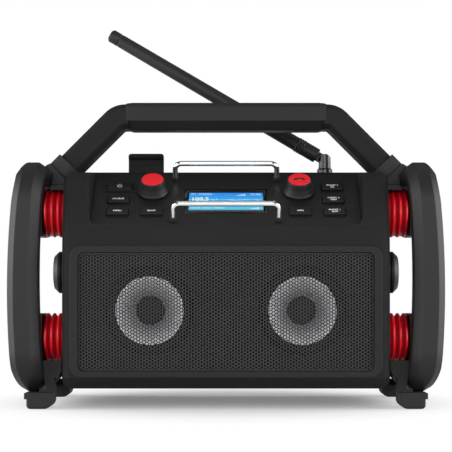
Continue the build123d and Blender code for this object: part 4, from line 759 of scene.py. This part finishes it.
class RADIO_OT_handle(Undoable, bpy.types.Operator):
    """Carrying handle and its rubber grip with drawn-in ends"""

    bl_idname = "radio.handle"
    bl_label = "Handle"

    def execute(self, context):
        size = looks("cage")
        recut("handle_tube", handle_powder_coat, "cage", 0.0009, shape=self.open_middle)
        low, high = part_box("handle_grip")
        wide, deep, tall = high - low
        bm = block((wide - 2 * size.taper, deep, tall))
        bevel, rounding = 0.0095, 0.0046  # along its lower and its upper edges
        for up, radius, segments in ((-1, bevel, 1), (1, rounding, 2)):
            along = [e for e in bm.edges if all(v.co.z * up > tall / 2 - TINY for v in e.verts)]
            along = [e for e in along if abs(e.verts[0].co.x - e.verts[1].co.x) > TINY]
            round_edges(bm, along, radius, segments)
        ends = [f for f in bm.faces if abs(f.normal.x) > 0.9]
        less_deep, less_tall, lift = 0.0022, 0.0026, 0.0006  # how the ends draw in
        drawn_in = (1, (deep - less_deep) / deep, (tall - less_tall) / tall)
        for face in bmesh.ops.extrude_discrete_faces(bm, faces=ends)["faces"]:
            step = math.copysign(size.taper, face.calc_center_median().x)
            bmesh.ops.translate(bm, vec=(step, 0, 0), verts=face.verts)
            bmesh.ops.scale(bm, vec=drawn_in, verts=face.verts)
            bmesh.ops.translate(bm, vec=(0, 0, lift), verts=face.verts)
        moved(bm, Matrix.Translation((low + high) / 2))
        grip = finished(
            "handle_grip_sleeve", bm, grip_rubber, "cage", ("handle_grip",), sharp=20
        )
        softened(grip, 0.0005, angle=20, harden=False)
        return {"FINISHED"}

    def open_middle(self, bm):
        """Leaves out the part of the tube that the grip hides."""
        lap = 0.0025  # how far the tube runs into the grip
        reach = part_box("handle_grip")[1].x - lap
        for x in (-reach, reach):
            bmesh.ops.bisect_plane(bm, geom=everything(bm), dist=TINY, plane_co=(x, 0, 0), plane_no=(1, 0, 0))
        hidden = [f for f in bm.faces if abs(f.calc_center_median().x) < reach - TINY]
        bmesh.ops.delete(bm, geom=hidden, context="FACES")
        for _, sign in SIDES:
            rim = [e for e in bm.edges if e.is_boundary and e.verts[0].co.x * sign > 0]
            bmesh.ops.bridge_loops(bm, edges=rim)


class RADIO_OT_bellows(Undoable, bpy.types.Operator):
    """Ridged red bellows seated in black cups, and their bolts"""

    bl_idname = "radio.bellows"
    bl_label = "Bellows"

    def execute(self, context):
        size = looks("cage")
        for level in ("lower", "upper"):
            for side, sign in SIDES:
                node = f"bellows_{level}_{side}"
                low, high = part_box(node)
                z = (low.z + high.z) / 2
                inner = min(abs(low.x), abs(high.x))
                red = high.x - low.x - size.cup
                place = along_x(sign * (inner + size.cup), 0, z, sign)
                bm = moved(spun(self.ridged(size, red), 72, closed=True, soften=0.0021, cuts=4), place)
                obj = finished(
                    node + "_ridges", bm, bellows_silicone, None, (node,), sharp=60
                )
                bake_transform(obj)
                rim = size.ridge - 0.002
                cup = [(0.004, 0), (rim, 0), (rim, size.cup), (0.004, size.cup)]
                seat = moved(spun(cup, 64, closed=True, soften=0.0006), along_x(sign * inner, 0, z, sign))
                finished(f"bellows_cup_{level}_{side}", seat, black_rubber, "chassis")
                self.washer(level, side, sign, z)
        dress_node("bellows_bolts", zinc_steel)
        return {"FINISHED"}

    def ridged(self, size, red):
        """Outline of a bellows along its axis."""
        pitch = red / size.ridges
        outline = [(0.004, 0.0), (size.root, 0.0)]
        for i in range(size.ridges):
            outline += [(size.ridge, pitch * (i + 0.34)), (size.ridge, pitch * (i + 0.66))]
            outline.append((size.root, pitch * (i + 1)))
        return outline + [(0.004, red)]

    def washer(self, level, side, sign, z):
        """Washer under the head of a bolt."""
        head = 0.003
        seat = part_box("bellows_bolts")[1].x - head
        ring = [(0.0066, 0), (0.0095, 0), (0.0095, 0.0009), (0.0066, 0.0009)]
        bm = moved(spun(ring, 48, closed=True, soften=0.0003), along_x(sign * seat, 0, z, sign))
        finished(f"bolt_washer_{level}_{side}", bm, zinc_steel, "cage")


# ---------------------------------------------------------------- radio body
class RADIO_OT_housing(Undoable, bpy.types.Operator):
    """Front and rear shell, frame round the grille, buffers and screws"""

    bl_idname = "radio.housing"
    bl_label = "Housing"

    def execute(self, context):
        edge = looks("body").edge
        for end in ("front", "rear"):
            recut(f"{end}_shell", housing_abs, "chassis", edge)
        recut("grille_bezel", bezel_abs, "chassis", edge)
        dress_node("shell_screws", zinc_steel)
        for side, sign in SIDES:
            node = f"side_buffer_{side}"
            low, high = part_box(node)
            inner = min(abs(low.x), abs(high.x))
            tall = high.x - low.x
            r = (high.z - low.z) / 2
            groove = r - 0.0012
            outline = [(0, 0), (r, 0), (r, tall * 0.42), (groove, tall * 0.46), (groove, tall * 0.52)]
            outline += [(r, tall * 0.56), (r, tall - 0.005), (r - 0.005, tall), (r - 0.008, tall)]
            outline += [(r - 0.009, tall - 0.0012), (0, tall - 0.0012)]
            place = along_x(sign * inner, (low.y + high.y) / 2, (low.z + high.z) / 2, sign)
            bm = moved(spun(outline, 72, soften=0.0008), place)
            finished(node + "_moulding", bm, black_rubber, "chassis", (node,), sharp=50)
        return {"FINISHED"}


class RADIO_OT_grille(Undoable, bpy.types.Operator):
    """Perforated sheet: staggered columns of round holes with a plain rim"""

    bl_idname = "radio.grille"
    bl_label = "Grille"

    def execute(self, context):
        size = looks("grille")
        low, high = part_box("grille")
        wide, tall = high.x - low.x, high.z - low.z
        columns = math.ceil(wide / size.across / 2) + 1
        rows = math.ceil(tall / size.up) + 2
        bm = bmesh.new()
        bmesh.ops.create_circle(bm, cap_ends=False, segments=8, radius=size.hole / 2)
        cell = bmesh.ops.create_circle(bm, cap_ends=False, segments=8, radius=1.0)["verts"]
        for v in cell:  # its eight points become the corners and the middles of a rectangle
            v.co.x = round(v.co.x * 1.2) * size.across / 2
            v.co.y = round(v.co.y * 1.2) * size.up / 2
        bmesh.ops.bridge_loops(bm, edges=bm.edges[:])
        row(bm, rows, (0, size.up, 0))
        second = bmesh.ops.duplicate(bm, geom=everything(bm))["geom"]
        bmesh.ops.translate(bm, vec=(size.across, size.up / 2, 0), verts=only_verts(second))
        row(bm, columns, (2 * size.across, 0, 0))
        bmesh.ops.remove_doubles(bm, verts=bm.verts, dist=1e-5)
        shift = ((1 - 2 * columns) * size.across / 2, -rows * size.up / 2, 0)
        bmesh.ops.translate(bm, vec=shift, verts=bm.verts)
        for normal, reach in (((1, 0, 0), wide), ((-1, 0, 0), wide), ((0, 1, 0), tall), ((0, -1, 0), tall)):
            edge = Vector(normal) * (reach / 2 - size.rim)
            bmesh.ops.bisect_plane(
                bm, geom=everything(bm), dist=TINY, plane_co=edge, plane_no=normal, clear_outer=True
            )
        moved(bm, along_y(0, low.y, (low.z + high.z) / 2))
        sheet = finished(
            "grille_sheet", bm, grille_powder_coat, "chassis", ("grille",),
            sharp=30, closed=False,
        )
        walled(sheet, 0.0006)
        self.rim(low, high, size)
        return {"FINISHED"}

    def rim(self, low, high, size):
        """Folded edge round the sheet."""
        bm = bmesh.new()
        bmesh.ops.create_grid(bm, x_segments=1, y_segments=1, size=0.5)
        bmesh.ops.scale(bm, vec=(high.x - low.x, high.z - low.z, 1), verts=bm.verts)
        corner, lap, setback = 0.0063, 0.0003, 0.0007  # lap over the sheet, setback behind its front
        bmesh.ops.bevel(
            bm, geom=bm.verts[:], offset=corner, offset_type="OFFSET", segments=6, profile=0.5,
            affect="VERTICES", material=-1,
        )
        outer = bm.faces[:]
        bmesh.ops.inset_region(
            bm, faces=outer, thickness=size.rim + lap, use_boundary=True, use_even_offset=True
        )
        bmesh.ops.delete(bm, geom=outer, context="FACES_ONLY")
        moved(bm, along_y(0, low.y + setback, (low.z + high.z) / 2))
        edge = finished("grille_rim", bm, grille_powder_coat, "chassis", closed=False)
        walled(edge, 0.002)


class RADIO_OT_speakers(Undoable, bpy.types.Operator):
    """Cones, surrounds and dust caps, turned, with the baffle behind the grille"""

    bl_idname = "radio.speakers"
    bl_label = "Loudspeakers"

    def execute(self, context):
        size = looks("grille")
        dress_node("speaker_baffle", baffle_paint)
        for side, _ in SIDES:
            dress_node(f"speaker_basket_{side}", basket_paint)
            low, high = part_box(f"speaker_surround_{side}")
            x, z, r = (low.x + high.x) / 2, (low.z + high.z) / 2, (high.x - low.x) / 2
            place = along_y(x, 0, z)
            inner = size.cone + 0.0004
            roll = self.roll(r, inner, -(low.y + 0.0041))
            bm = moved(spun(roll, 96, closed=True, soften=0.0009), place)
            surround = finished(
                f"speaker_roll_{side}", bm, surround_butyl, None,
                (f"speaker_surround_{side}",), sharp=60,
            )
            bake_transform(surround)
            self.cone(side, size, -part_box(f"speaker_cone_{side}")[0].y, place)
        return {"FINISHED"}

    def roll(self, r, inner, edge):
        """Outline of the half-round roll of a surround."""
        mid = (r + inner) / 2
        front = [(r, edge), (r - 0.003, edge), (r - 0.0045, edge + 0.0028), (mid, edge + 0.0042)]
        front += [(inner + 0.0016, edge + 0.0028), (inner, edge + 0.0001)]
        return front + [(inner, edge - 0.0008), (mid, edge + 0.0032), (r, edge - 0.0009)]

    def cone(self, side, size, rim, place):
        """Cone, dust cap and coil of one speaker."""
        deep = rim - 0.0165
        neck = size.cap
        paper = [(size.cone, rim), (size.cone - 0.0012, rim + 0.0002), (size.cone - 0.008, rim - 0.0062)]
        paper += [(neck + 0.004, deep + 0.002), (neck, deep), (neck, deep - 0.0008)]
        paper += [(neck + 0.004, deep + 0.001), (size.cone - 0.008, rim - 0.0072), (size.cone, rim - 0.0008)]
        body = f"cone_{side}"
        bm = moved(spun(paper, 96, closed=True, soften=0.0008), place)
        finished(
            f"speaker_paper_{side}", bm, cone_silver, body, (f"speaker_cone_{side}",), sharp=60
        )
        dome = [(neck + 0.0006, deep + 0.0002), (neck * 0.9, deep + 0.0021), (neck * 0.6, deep + 0.0040)]
        dome += [(neck * 0.3, deep + 0.0051), (0, deep + 0.0054)]
        cap = finished(
            f"speaker_cap_{side}", moved(spun(dome, 72), place), surround_butyl, body,
            sharp=60, closed=False,
        )
        walled(cap, 0.0004)
        out, within = neck - 0.0002, neck - 0.0006
        coil = [(out, deep), (out, deep - 0.012), (within, deep - 0.012), (within, deep)]
        bm = moved(spun(coil, 48, closed=True), place)
        finished(f"speaker_coil_{side}", bm, basket_paint, body)


# ---------------------------------------------------------------- control panel
class RADIO_OT_panel(Undoable, bpy.types.Operator):
    """Sloping panel with soft swells beside the display, and marks below the knobs"""

    bl_idname = "radio.panel"
    bl_label = "Control panel"

    def execute(self, context):
        size = looks("controls")
        recut("control_panel", panel_abs, "chassis", 0.0005)
        for side, sign in SIDES:
            swell = [(0, 1.0), (0.25, 0.92), (0.5, 0.69), (0.7, 0.40), (0.85, 0.16), (1.0, 0.0)]
            bm = spun(swell + [(1.0, -0.3), (0, -0.3)], 48)
            bmesh.ops.scale(bm, vec=(0.0080, 0.0150, 0.0009), verts=bm.verts)
            moved(bm, on_panel(sign * 0.0535, 0.0600, 0.00002))
            finished(f"panel_swell_{side}", bm, panel_abs, "chassis", sharp=80)
            place = on_panel(sign * size.knob_x, size.knob_s - 0.0203, 0.00005)
            mark = block((0.0007, 0.0042, 0.0002), place=place)
            finished(f"knob_mark_{side}", mark, cap_ink, "chassis")
        return {"FINISHED"}


class RADIO_OT_display(Undoable, bpy.types.Operator):
    """Display behind its window: mask, lit screen, characters and a bevelled frame"""

    bl_idname = "radio.display"
    bl_label = "Display"

    def execute(self, context):
        dress_node("display_window", window_acrylic)
        dress_node("display_module", polished_abs)
        low, high = SCREEN_S
        bm = block((0.0766, high - low, 0.0002), place=on_panel(0, (low + high) / 2, -0.00235))
        finished("display_screen", bm, lcd_backlight, "chassis")
        level = -0.0022
        end = 0.0362  # where the words begin and end, from the middle
        words = joined(
            lettering("FM  STEREO", 0.0042, on_panel(-end, 0.0592, level), align="LEFT"),
            lettering("100.5", 0.0084, on_panel(-end, 0.0500, level), align="LEFT", bold=0.0003),
            lettering("12:45", 0.0052, on_panel(end, 0.0588, level), align="RIGHT"),
            lettering("TUNE  BASS  TREBLE", 0.0038, on_panel(-end, 0.0340, level), align="LEFT"),
        )
        finished("display_characters", words, lcd_characters, "chassis", closed=False)
        pitch, growth = 0.0024, 0.0008  # from each bar to the next one, and how much taller it is
        bars = []
        for x, s in ((0.0120, 0.0568), (0.0260, 0.0322)):
            for i in range(4):
                place = on_panel(x + pitch * i, s + growth / 2 * i, level)
                bars.append(block((0.0016, 0.001 + growth * i, 0.00016), place=place))
        finished("display_bars", joined(*bars), lcd_characters, "chassis", closed=False)
        mask = frame_of((0.0430, 0.0220, 0.0660, 0.0), (0.0387, 0.0262, 0.0634, -0.00105))
        mask = moved(mask, on_panel(0, 0, -0.00006))
        edge = finished("display_frame", mask, polished_abs, "chassis", closed=False)
        walled(edge, 0.0002)
        return {"FINISHED"}


class RADIO_OT_rods(Undoable, bpy.types.Operator):
    """Chrome guard rods with their rubber ferrules"""

    bl_idname = "radio.rods"
    bl_label = "Guard rods"

    def execute(self, context):
        size = looks("controls")
        bend = 0.007
        tail = 0.007
        leg = size.rod_h - bend + tail
        for name, s in (("lower", size.rod_low), ("upper", size.rod_high)):
            bm = bmesh.new()
            rim = bmesh.ops.create_circle(bm, cap_ends=False, segments=24, radius=size.rod_r)["verts"]
            bmesh.ops.translate(bm, vec=(-size.rod_x, 0, -tail), verts=rim)
            rim = self.straight(bm, rim, (0, 0, leg))
            rim = self.turn(bm, rim, (-size.rod_x + bend, 0, size.rod_h - bend))
            rim = self.straight(bm, rim, (2 * (size.rod_x - bend), 0, 0))
            rim = self.turn(bm, rim, (size.rod_x - bend, 0, size.rod_h - bend))
            self.straight(bm, rim, (0, 0, -leg))
            bmesh.ops.holes_fill(bm, edges=bm.edges, sides=0)
            moved(bm, on_panel(0, s))
            node = f"panel_guard_{name}"
            finished(node + "_rod", bm, polished_chrome, "chassis", (node,), sharp=50)
        bore = size.rod_r + 0.0001
        ring = [(bore, 0), (0.0034, 0), (0.0034, 0.0046), (0.0031, 0.0050), (bore, 0.0050)]
        rings = [
            moved(spun(ring, 40, closed=True), on_panel(sign * size.rod_x, s))
            for _, sign in SIDES
            for s in (size.rod_low, size.rod_high)
        ]
        finished(
            "guard_ferrule_rings", joined(*rings), black_rubber, "chassis",
            ("guard_ferrules",), sharp=50,
        )
        return {"FINISHED"}

    def straight(self, bm, rim, step):
        """Draws a ring of vertices out along a line."""
        edges = [e for e in bm.edges if e.verts[0] in rim and e.verts[1] in rim]
        drawn = only_verts(bmesh.ops.extrude_edge_only(bm, edges=edges)["geom"])
        bmesh.ops.translate(bm, vec=step, verts=drawn)
        return drawn

    def turn(self, bm, rim, centre):
        """Bends a ring of vertices through a right angle."""
        edges = [e for e in bm.edges if e.verts[0] in rim and e.verts[1] in rim]
        bent = bmesh.ops.spin(
            bm, geom=edges + list(rim), cent=centre, axis=(0, 1, 0), angle=math.radians(90), steps=12
        )
        return only_verts(bent["geom_last"])


class RADIO_OT_knobs(Undoable, bpy.types.Operator):
    """Flared knobs with red push buttons, one with a handset mark"""

    bl_idname = "radio.knobs"
    bl_label = "Knobs"

    def execute(self, context):
        size = looks("controls")
        base, top = 0.0009, 0.0157
        bore = 0.01148
        outline = [(0.0040, base), (0.0164, base), (0.0164, base + 0.0016), (0.0152, base + 0.0032)]
        outline += [(0.0134, base + 0.0082), (0.0125, top - 0.0006), (0.0121, top)]
        outline += [(bore, top), (bore, top - 0.0056), (0.0040, top - 0.0056)]
        cap = [(0, top + 0.0006), (bore - 0.0006, top + 0.0006), (bore - 0.0001, top + 0.0001)]
        cap += [(bore - 0.0001, top - 0.0026), (0, top - 0.0026)]
        for side, sign in SIDES:
            place = on_panel(sign * size.knob_x, size.knob_s)
            bm = moved(spun(outline, 80, closed=True, soften=0.0004), place)
            finished(
                f"knob_{side}_turned", bm, panel_abs, f"dial_{side}", (f"knob_{side}",),
                sharp=40,
            )
            bm = moved(spun(cap, 80, soften=0.0003), place)
            finished(
                f"knob_cap_{side}", bm, cap_abs, f"button_{side}", (f"knob_button_{side}",),
                sharp=40,
            )
        self.handset(on_panel(size.knob_x, size.knob_s, top + 0.0006))
        return {"FINISHED"}

    def handset(self, place):
        """Telephone handset lying face down, as printed on the cap."""
        bm = arc(0.0096, 0.0120, -24, 48, 12)
        ends = [
            block(
                (0.0030, 0.0036, 0.0001), 0.0006, 2,
                Matrix.Rotation(math.radians(turn), 4, "Z") @ Matrix.Translation((0, 0.0100, 0.00005)),
                upright,
            )
            for turn in (-26, 26)
        ]
        glyph = moved(joined(bm, *ends), place @ Matrix.Translation((0, -0.0096, 0)))
        finished("handset_mark", glyph, cap_ink, "button_right")


class RADIO_OT_keys(Undoable, bpy.types.Operator):
    """Rubber keys with printed captions"""

    bl_idname = "radio.keys"
    bl_label = "Keys"

    def execute(self, context):
        size = looks("controls")
        outer, inner = size.key_x, size.knob_x
        for name, x, s, lines in (
            ("key_power", -outer, size.key_high, ()),
            ("key_left_middle", -outer, size.key_mid, ("SOURCE",)),
            ("key_left_bottom", -outer, size.key_low, ("MENU",)),
            ("key_under_left_knob", -inner, size.key_low, ("BAND",)),
            ("key_under_right_knob", inner, size.key_low, ("INFO",)),
            ("key_right_top", outer, size.key_high, ("PRESET 3", "EQ")),
            ("key_right_middle", outer, size.key_mid, ("PRESET 2", "MEM")),
            ("key_right_bottom", outer, size.key_low, ("PRESET 1", "AUX")),
        ):
            body = name.replace("key_", "push_")
            low = -0.0033
            tall = size.key_h - low
            wide = size.key_w + (0 if lines else 0.0036)
            bm = block((wide, size.key_d, tall), 0.0013, 3, None, upright)
            top = [e for e in bm.edges if min(v.co.z for v in e.verts) > tall / 2 - TINY]
            round_edges(bm, top, 0.0010)
            moved(bm, on_panel(x, s, (low + size.key_h) / 2))
            finished(name + "_moulding", bm, key_silicone, body, (name,), sharp=40)
            for i, words in enumerate(lines):
                at = s - 0.0012 + 0.0016 * (len(lines) - 1) - 0.0034 * i
                place = on_panel(x, at, size.key_h + 0.00006)
                bm = lettering(words, size.caption, place, bold=0.00012)
                finished(f"{name}_caption_{i + 1}", bm, key_ink, body, closed=False)
        self.power(on_panel(-outer, size.key_high - 0.0008, size.key_h))
        return {"FINISHED"}

    def power(self, place):
        """Power symbol: an open ring with a bar through its gap."""
        bar = block((0.0008, 0.0026, 0.0001), place=Matrix.Translation((0, 0.0020, 0.00005)))
        glyph = joined(arc(0.0018, 0.0026, 38, 284, 24), bar)
        finished("power_mark", moved(glyph, place), key_ink, "push_power")


# ---------------------------------------------------------------- back, inside, antenna
class RADIO_OT_back(Undoable, bpy.types.Operator):
    """Battery door, latch, socket plate and flap, and what is inside"""

    bl_idname = "radio.back"
    bl_label = "Back"

    def execute(self, context):
        edge = looks("body").edge
        recut("battery_door", housing_abs, "door", edge)
        recut("door_latch", housing_abs, "latch", edge, shape=self.tab_corners)
        recut("socket_flap", black_rubber, "flap", edge)
        dress_node("socket_plate", panel_abs)
        dress_node("battery_pack", battery_film)
        dress_node("control_board", circuit_board)
        dress_node("amplifier_board", circuit_board)
        return {"FINISHED"}

    def tab_corners(self, bm):
        """Rounds the two upper corners of the latch's tab."""
        radius = 0.003
        start = max(v.co.z for v in bm.verts) - radius
        upper = [v for v in bm.verts if v.co.z > start]
        left, right = min(v.co.x for v in upper), max(v.co.x for v in upper)
        middle, half = (left + right) / 2, (right - left) / 2
        for v in upper:
            rise = min(v.co.z - start, radius)
            reach = half - radius + math.sqrt(radius**2 - rise**2)
            v.co.x = middle + max(-reach, min(reach, v.co.x - middle))


class RADIO_OT_antenna(Undoable, bpy.types.Operator):
    """Rubber whip with its rings and groove, on a nickel fork"""

    bl_idname = "radio.antenna"
    bl_label = "Antenna"

    def execute(self, context):
        size = looks("antenna")
        recut("antenna_base", turned_nickel, "chassis", 0.0003)
        recut("antenna_yoke", turned_nickel, "yoke", 0.0003)
        r, tip, end = size.radius, size.tip, size.reach
        foot = 0.010
        outline = [(0, foot), (r - 0.0006, foot), (r, foot + 0.0008), (r, 0.0275)]
        ring, groove = r + 0.0005, tip - 0.0004
        for at in (0.028, 0.031, 0.034):
            outline += [(r, at), (ring, at + 0.0004), (ring, at + 0.0014), (r - 0.0002, at + 0.0018)]
        outline += [(r - 0.0003, 0.038), (tip, end - 0.0135), (groove, end - 0.0131)]
        outline += [(groove, end - 0.0122), (tip, end - 0.0118), (tip, end - 0.002), (tip - 0.0022, end)]
        sleeve = spun(outline + [(0, end)], 48, soften=0.0002, cuts=2)
        elbow = Matrix.Translation((0.11, 0.0525, 0.2643))
        lean = -59.6  # degrees from upright, towards the left
        place = elbow @ Matrix.Rotation(math.radians(lean), 4, "Y")
        tongue = block((0.0104, 0.0046, 0.0160), 0.0004, 2, Matrix.Translation((0, 0, 0.0060)))
        eye = [(0.0022, -0.0023), (0.0052, -0.0023), (0.0052, 0.0023), (0.0022, 0.0023)]
        knuckle = spun(eye, 48, closed=True, soften=0.0003)
        moved(knuckle, Matrix.Rotation(math.radians(90), 4, "X"))
        finished(
            "antenna_whip_sleeve", moved(sleeve, place), whip_rubber, "whip",
            ("antenna_whip",), sharp=40,
        )
        tongue = moved(joined(tongue, knuckle), place)
        finished("antenna_tongue", tongue, black_rubber, "whip", closed=False)
        return {"FINISHED"}


# ---------------------------------------------------------------- stage
class RADIO_OT_stage(Undoable, bpy.types.Operator):
    """Pale floor, white surround, soft lamps and the camera"""

    bl_idname = "radio.stage"
    bl_label = "Stage"

    def execute(self, context):
        self.floor()
        self.surround()
        for name, place, aim, wide, tall, power in (
            ("lamp_left", (-1.5, -0.15, 0.40), (0, 0, 0.2), 1.2, 1.0, 34),
            ("lamp_right", (1.5, -0.15, 0.40), (0, 0, 0.2), 1.2, 1.0, 34),
            ("lamp_near_left", (-1.4, -1.15, 0.40), (0, 0, 0.2), 0.5, 0.8, 9),
            ("lamp_near_right", (1.4, -1.15, 0.40), (0, 0, 0.2), 0.5, 0.8, 9),
            ("lamp_front", (0.0, -2.6, 0.75), (0, 0, 0.15), 1.6, 0.7, 37),
            ("lamp_top", (0.0, 0.1, 1.7), (0, 0, 0), 1.6, 1.6, 4),
        ):
            data = bpy.data.lights.new(name, "AREA")
            data.shape = "RECTANGLE"
            data.size, data.size_y, data.energy = wide, tall, power
            lamp = bpy.data.objects.new(name, data)
            lamp.location = place
            lamp.rotation_euler = (Vector(aim) - Vector(place)).to_track_quat("-Z", "Y").to_euler()
            bpy.context.scene.collection.objects.link(lamp)
        data = bpy.data.cameras.new("camera")
        data.lens = 115.0
        data.sensor_width = 36.0
        data.shift_y = IMAGE_SHIFT / IMAGE_SIDE
        data.clip_start, data.clip_end = 0.05, 60
        camera = bpy.data.objects.new("camera", data)
        camera.location = (0, -1.5575, 0.119)
        camera.rotation_euler = (math.radians(90), 0, 0)
        bpy.context.scene.collection.objects.link(camera)
        bpy.context.scene.camera = camera
        bpy.context.scene.view_settings.view_transform = "Standard"
        return {"FINISHED"}

    def floor(self):
        """Pale floor that keeps the radio's shadow and fades into the white surround."""
        bm = bmesh.new()
        bmesh.ops.create_grid(bm, x_segments=24, y_segments=24, size=12.0)
        mesh = bpy.data.meshes.new("floor")
        bm.to_mesh(mesh)
        bm.free()
        obj = bpy.data.objects.new("floor", mesh)
        obj.location.z = -0.0005
        bpy.context.scene.collection.objects.link(obj)
        material, tree, shader, place = skin(
            "white_studio_floor", linear("#D8D8D8"), 0.9, Specular_IOR_Level=0.0
        )
        away = add(tree, "ShaderNodeVectorMath", {0: place}, operation="LENGTH").outputs["Value"]
        fade = {"Value": away, "From Min": 0.13, "From Max": 0.29, "To Min": 0.2}
        far = add(tree, "ShaderNodeMapRange", fade, interpolation_type="SMOOTHSTEP")
        path = add(tree, "ShaderNodeLightPath").outputs
        kinds = {0: path["Is Glossy Ray"], 1: path["Is Transmission Ray"]}
        shiny = add(tree, "ShaderNodeMath", kinds, operation="MAXIMUM")
        kinds = {0: path["Is Camera Ray"], 1: shiny.outputs["Value"]}
        rays = add(tree, "ShaderNodeMath", kinds, operation="MAXIMUM")
        both_of = {0: far.outputs["Result"], 1: rays.outputs["Value"]}
        share = add(tree, "ShaderNodeMath", both_of, operation="MULTIPLY")
        glow = add(tree, "ShaderNodeEmission", {"Color": (1, 1, 1, 1), "Strength": 1.0})
        sides = {0: share.outputs["Value"], 1: shader.outputs["BSDF"], 2: glow.outputs["Emission"]}
        both = add(tree, "ShaderNodeMixShader", sides)
        tree.links.new(both.outputs["Shader"], tree.nodes["Material Output"].inputs["Surface"])
        mesh.materials.append(material)

    def surround(self):
        """White to the eye; white low down and dark overhead to gloss; faint as a light."""
        world = bpy.data.worlds.new("studio")
        bpy.context.scene.world = world
        world.use_nodes = True
        tree = world.node_tree
        tree.nodes.clear()
        place = add(tree, "ShaderNodeTexCoord").outputs["Generated"]
        parts = add(tree, "ShaderNodeSeparateXYZ", {"Vector": place})
        ramp = add(tree, "ShaderNodeValToRGB", {"Fac": parts.outputs["Z"]})
        ramp.color_ramp.elements[0].position = 0.02
        ramp.color_ramp.elements[0].color = (1, 1, 1, 1)
        ramp.color_ramp.elements[1].position = 0.22
        ramp.color_ramp.elements[1].color = (0.14, 0.14, 0.14, 1)
        path = add(tree, "ShaderNodeLightPath").outputs
        white, gloss, light = [
            add(tree, "ShaderNodeBackground", {"Color": colour, "Strength": strength}).outputs["Background"]
            for colour, strength in (((1, 1, 1, 1), 1.0), (ramp.outputs["Color"], 1.0), ((1, 1, 1, 1), 0.22))
        ]
        lit = add(tree, "ShaderNodeMixShader", {0: path["Is Glossy Ray"], 1: light, 2: gloss})
        kinds = {0: path["Is Camera Ray"], 1: path["Is Transmission Ray"]}
        seen = add(tree, "ShaderNodeMath", kinds, operation="MAXIMUM").outputs["Value"]
        shown = add(tree, "ShaderNodeMixShader", {0: seen, 1: lit.outputs["Shader"], 2: white})
        out = add(tree, "ShaderNodeOutputWorld", {"Surface": shown.outputs["Shader"]})
        out.is_active_output = True


STEPS = (
    RADIO_OT_guards,
    RADIO_OT_handle,
    RADIO_OT_bellows,
    RADIO_OT_housing,
    RADIO_OT_grille,
    RADIO_OT_speakers,
    RADIO_OT_panel,
    RADIO_OT_display,
    RADIO_OT_rods,
    RADIO_OT_knobs,
    RADIO_OT_keys,
    RADIO_OT_back,
    RADIO_OT_antenna,
    RADIO_OT_stage,
)


class RADIO_PT_build(bpy.types.Panel):
    """The steps that build the radio, with their sizes and colours"""

    bl_idname = "RADIO_PT_build"
    bl_label = "Jobsite radio"
    bl_space_type = "VIEW_3D"
    bl_region_type = "UI"
    bl_category = "Radio"

    def draw(self, context):
        for name, group in GROUPS.items():
            box = self.layout.box()
            box.label(text=name.capitalize())
            for prop in group.__annotations__:
                box.prop(looks(name), prop)
        for step in STEPS:
            self.layout.operator(step.bl_idname)


CLASSES = (*GROUPS.values(), *STEPS, RADIO_PT_build)


def register():
    for cls in CLASSES:
        bpy.utils.register_class(cls)
    for name, group in GROUPS.items():
        setattr(bpy.types.Scene, "radio_" + name, bpy.props.PointerProperty(type=group))


def unregister():
    for name in GROUPS:
        delattr(bpy.types.Scene, "radio_" + name)
    for cls in reversed(CLASSES):
        bpy.utils.unregister_class(cls)


def main():
    register()
    for step in STEPS:
        group, call = step.bl_idname.split(".")
        getattr(getattr(bpy.ops, group), call)()


if __name__ == "__main__":
    main()
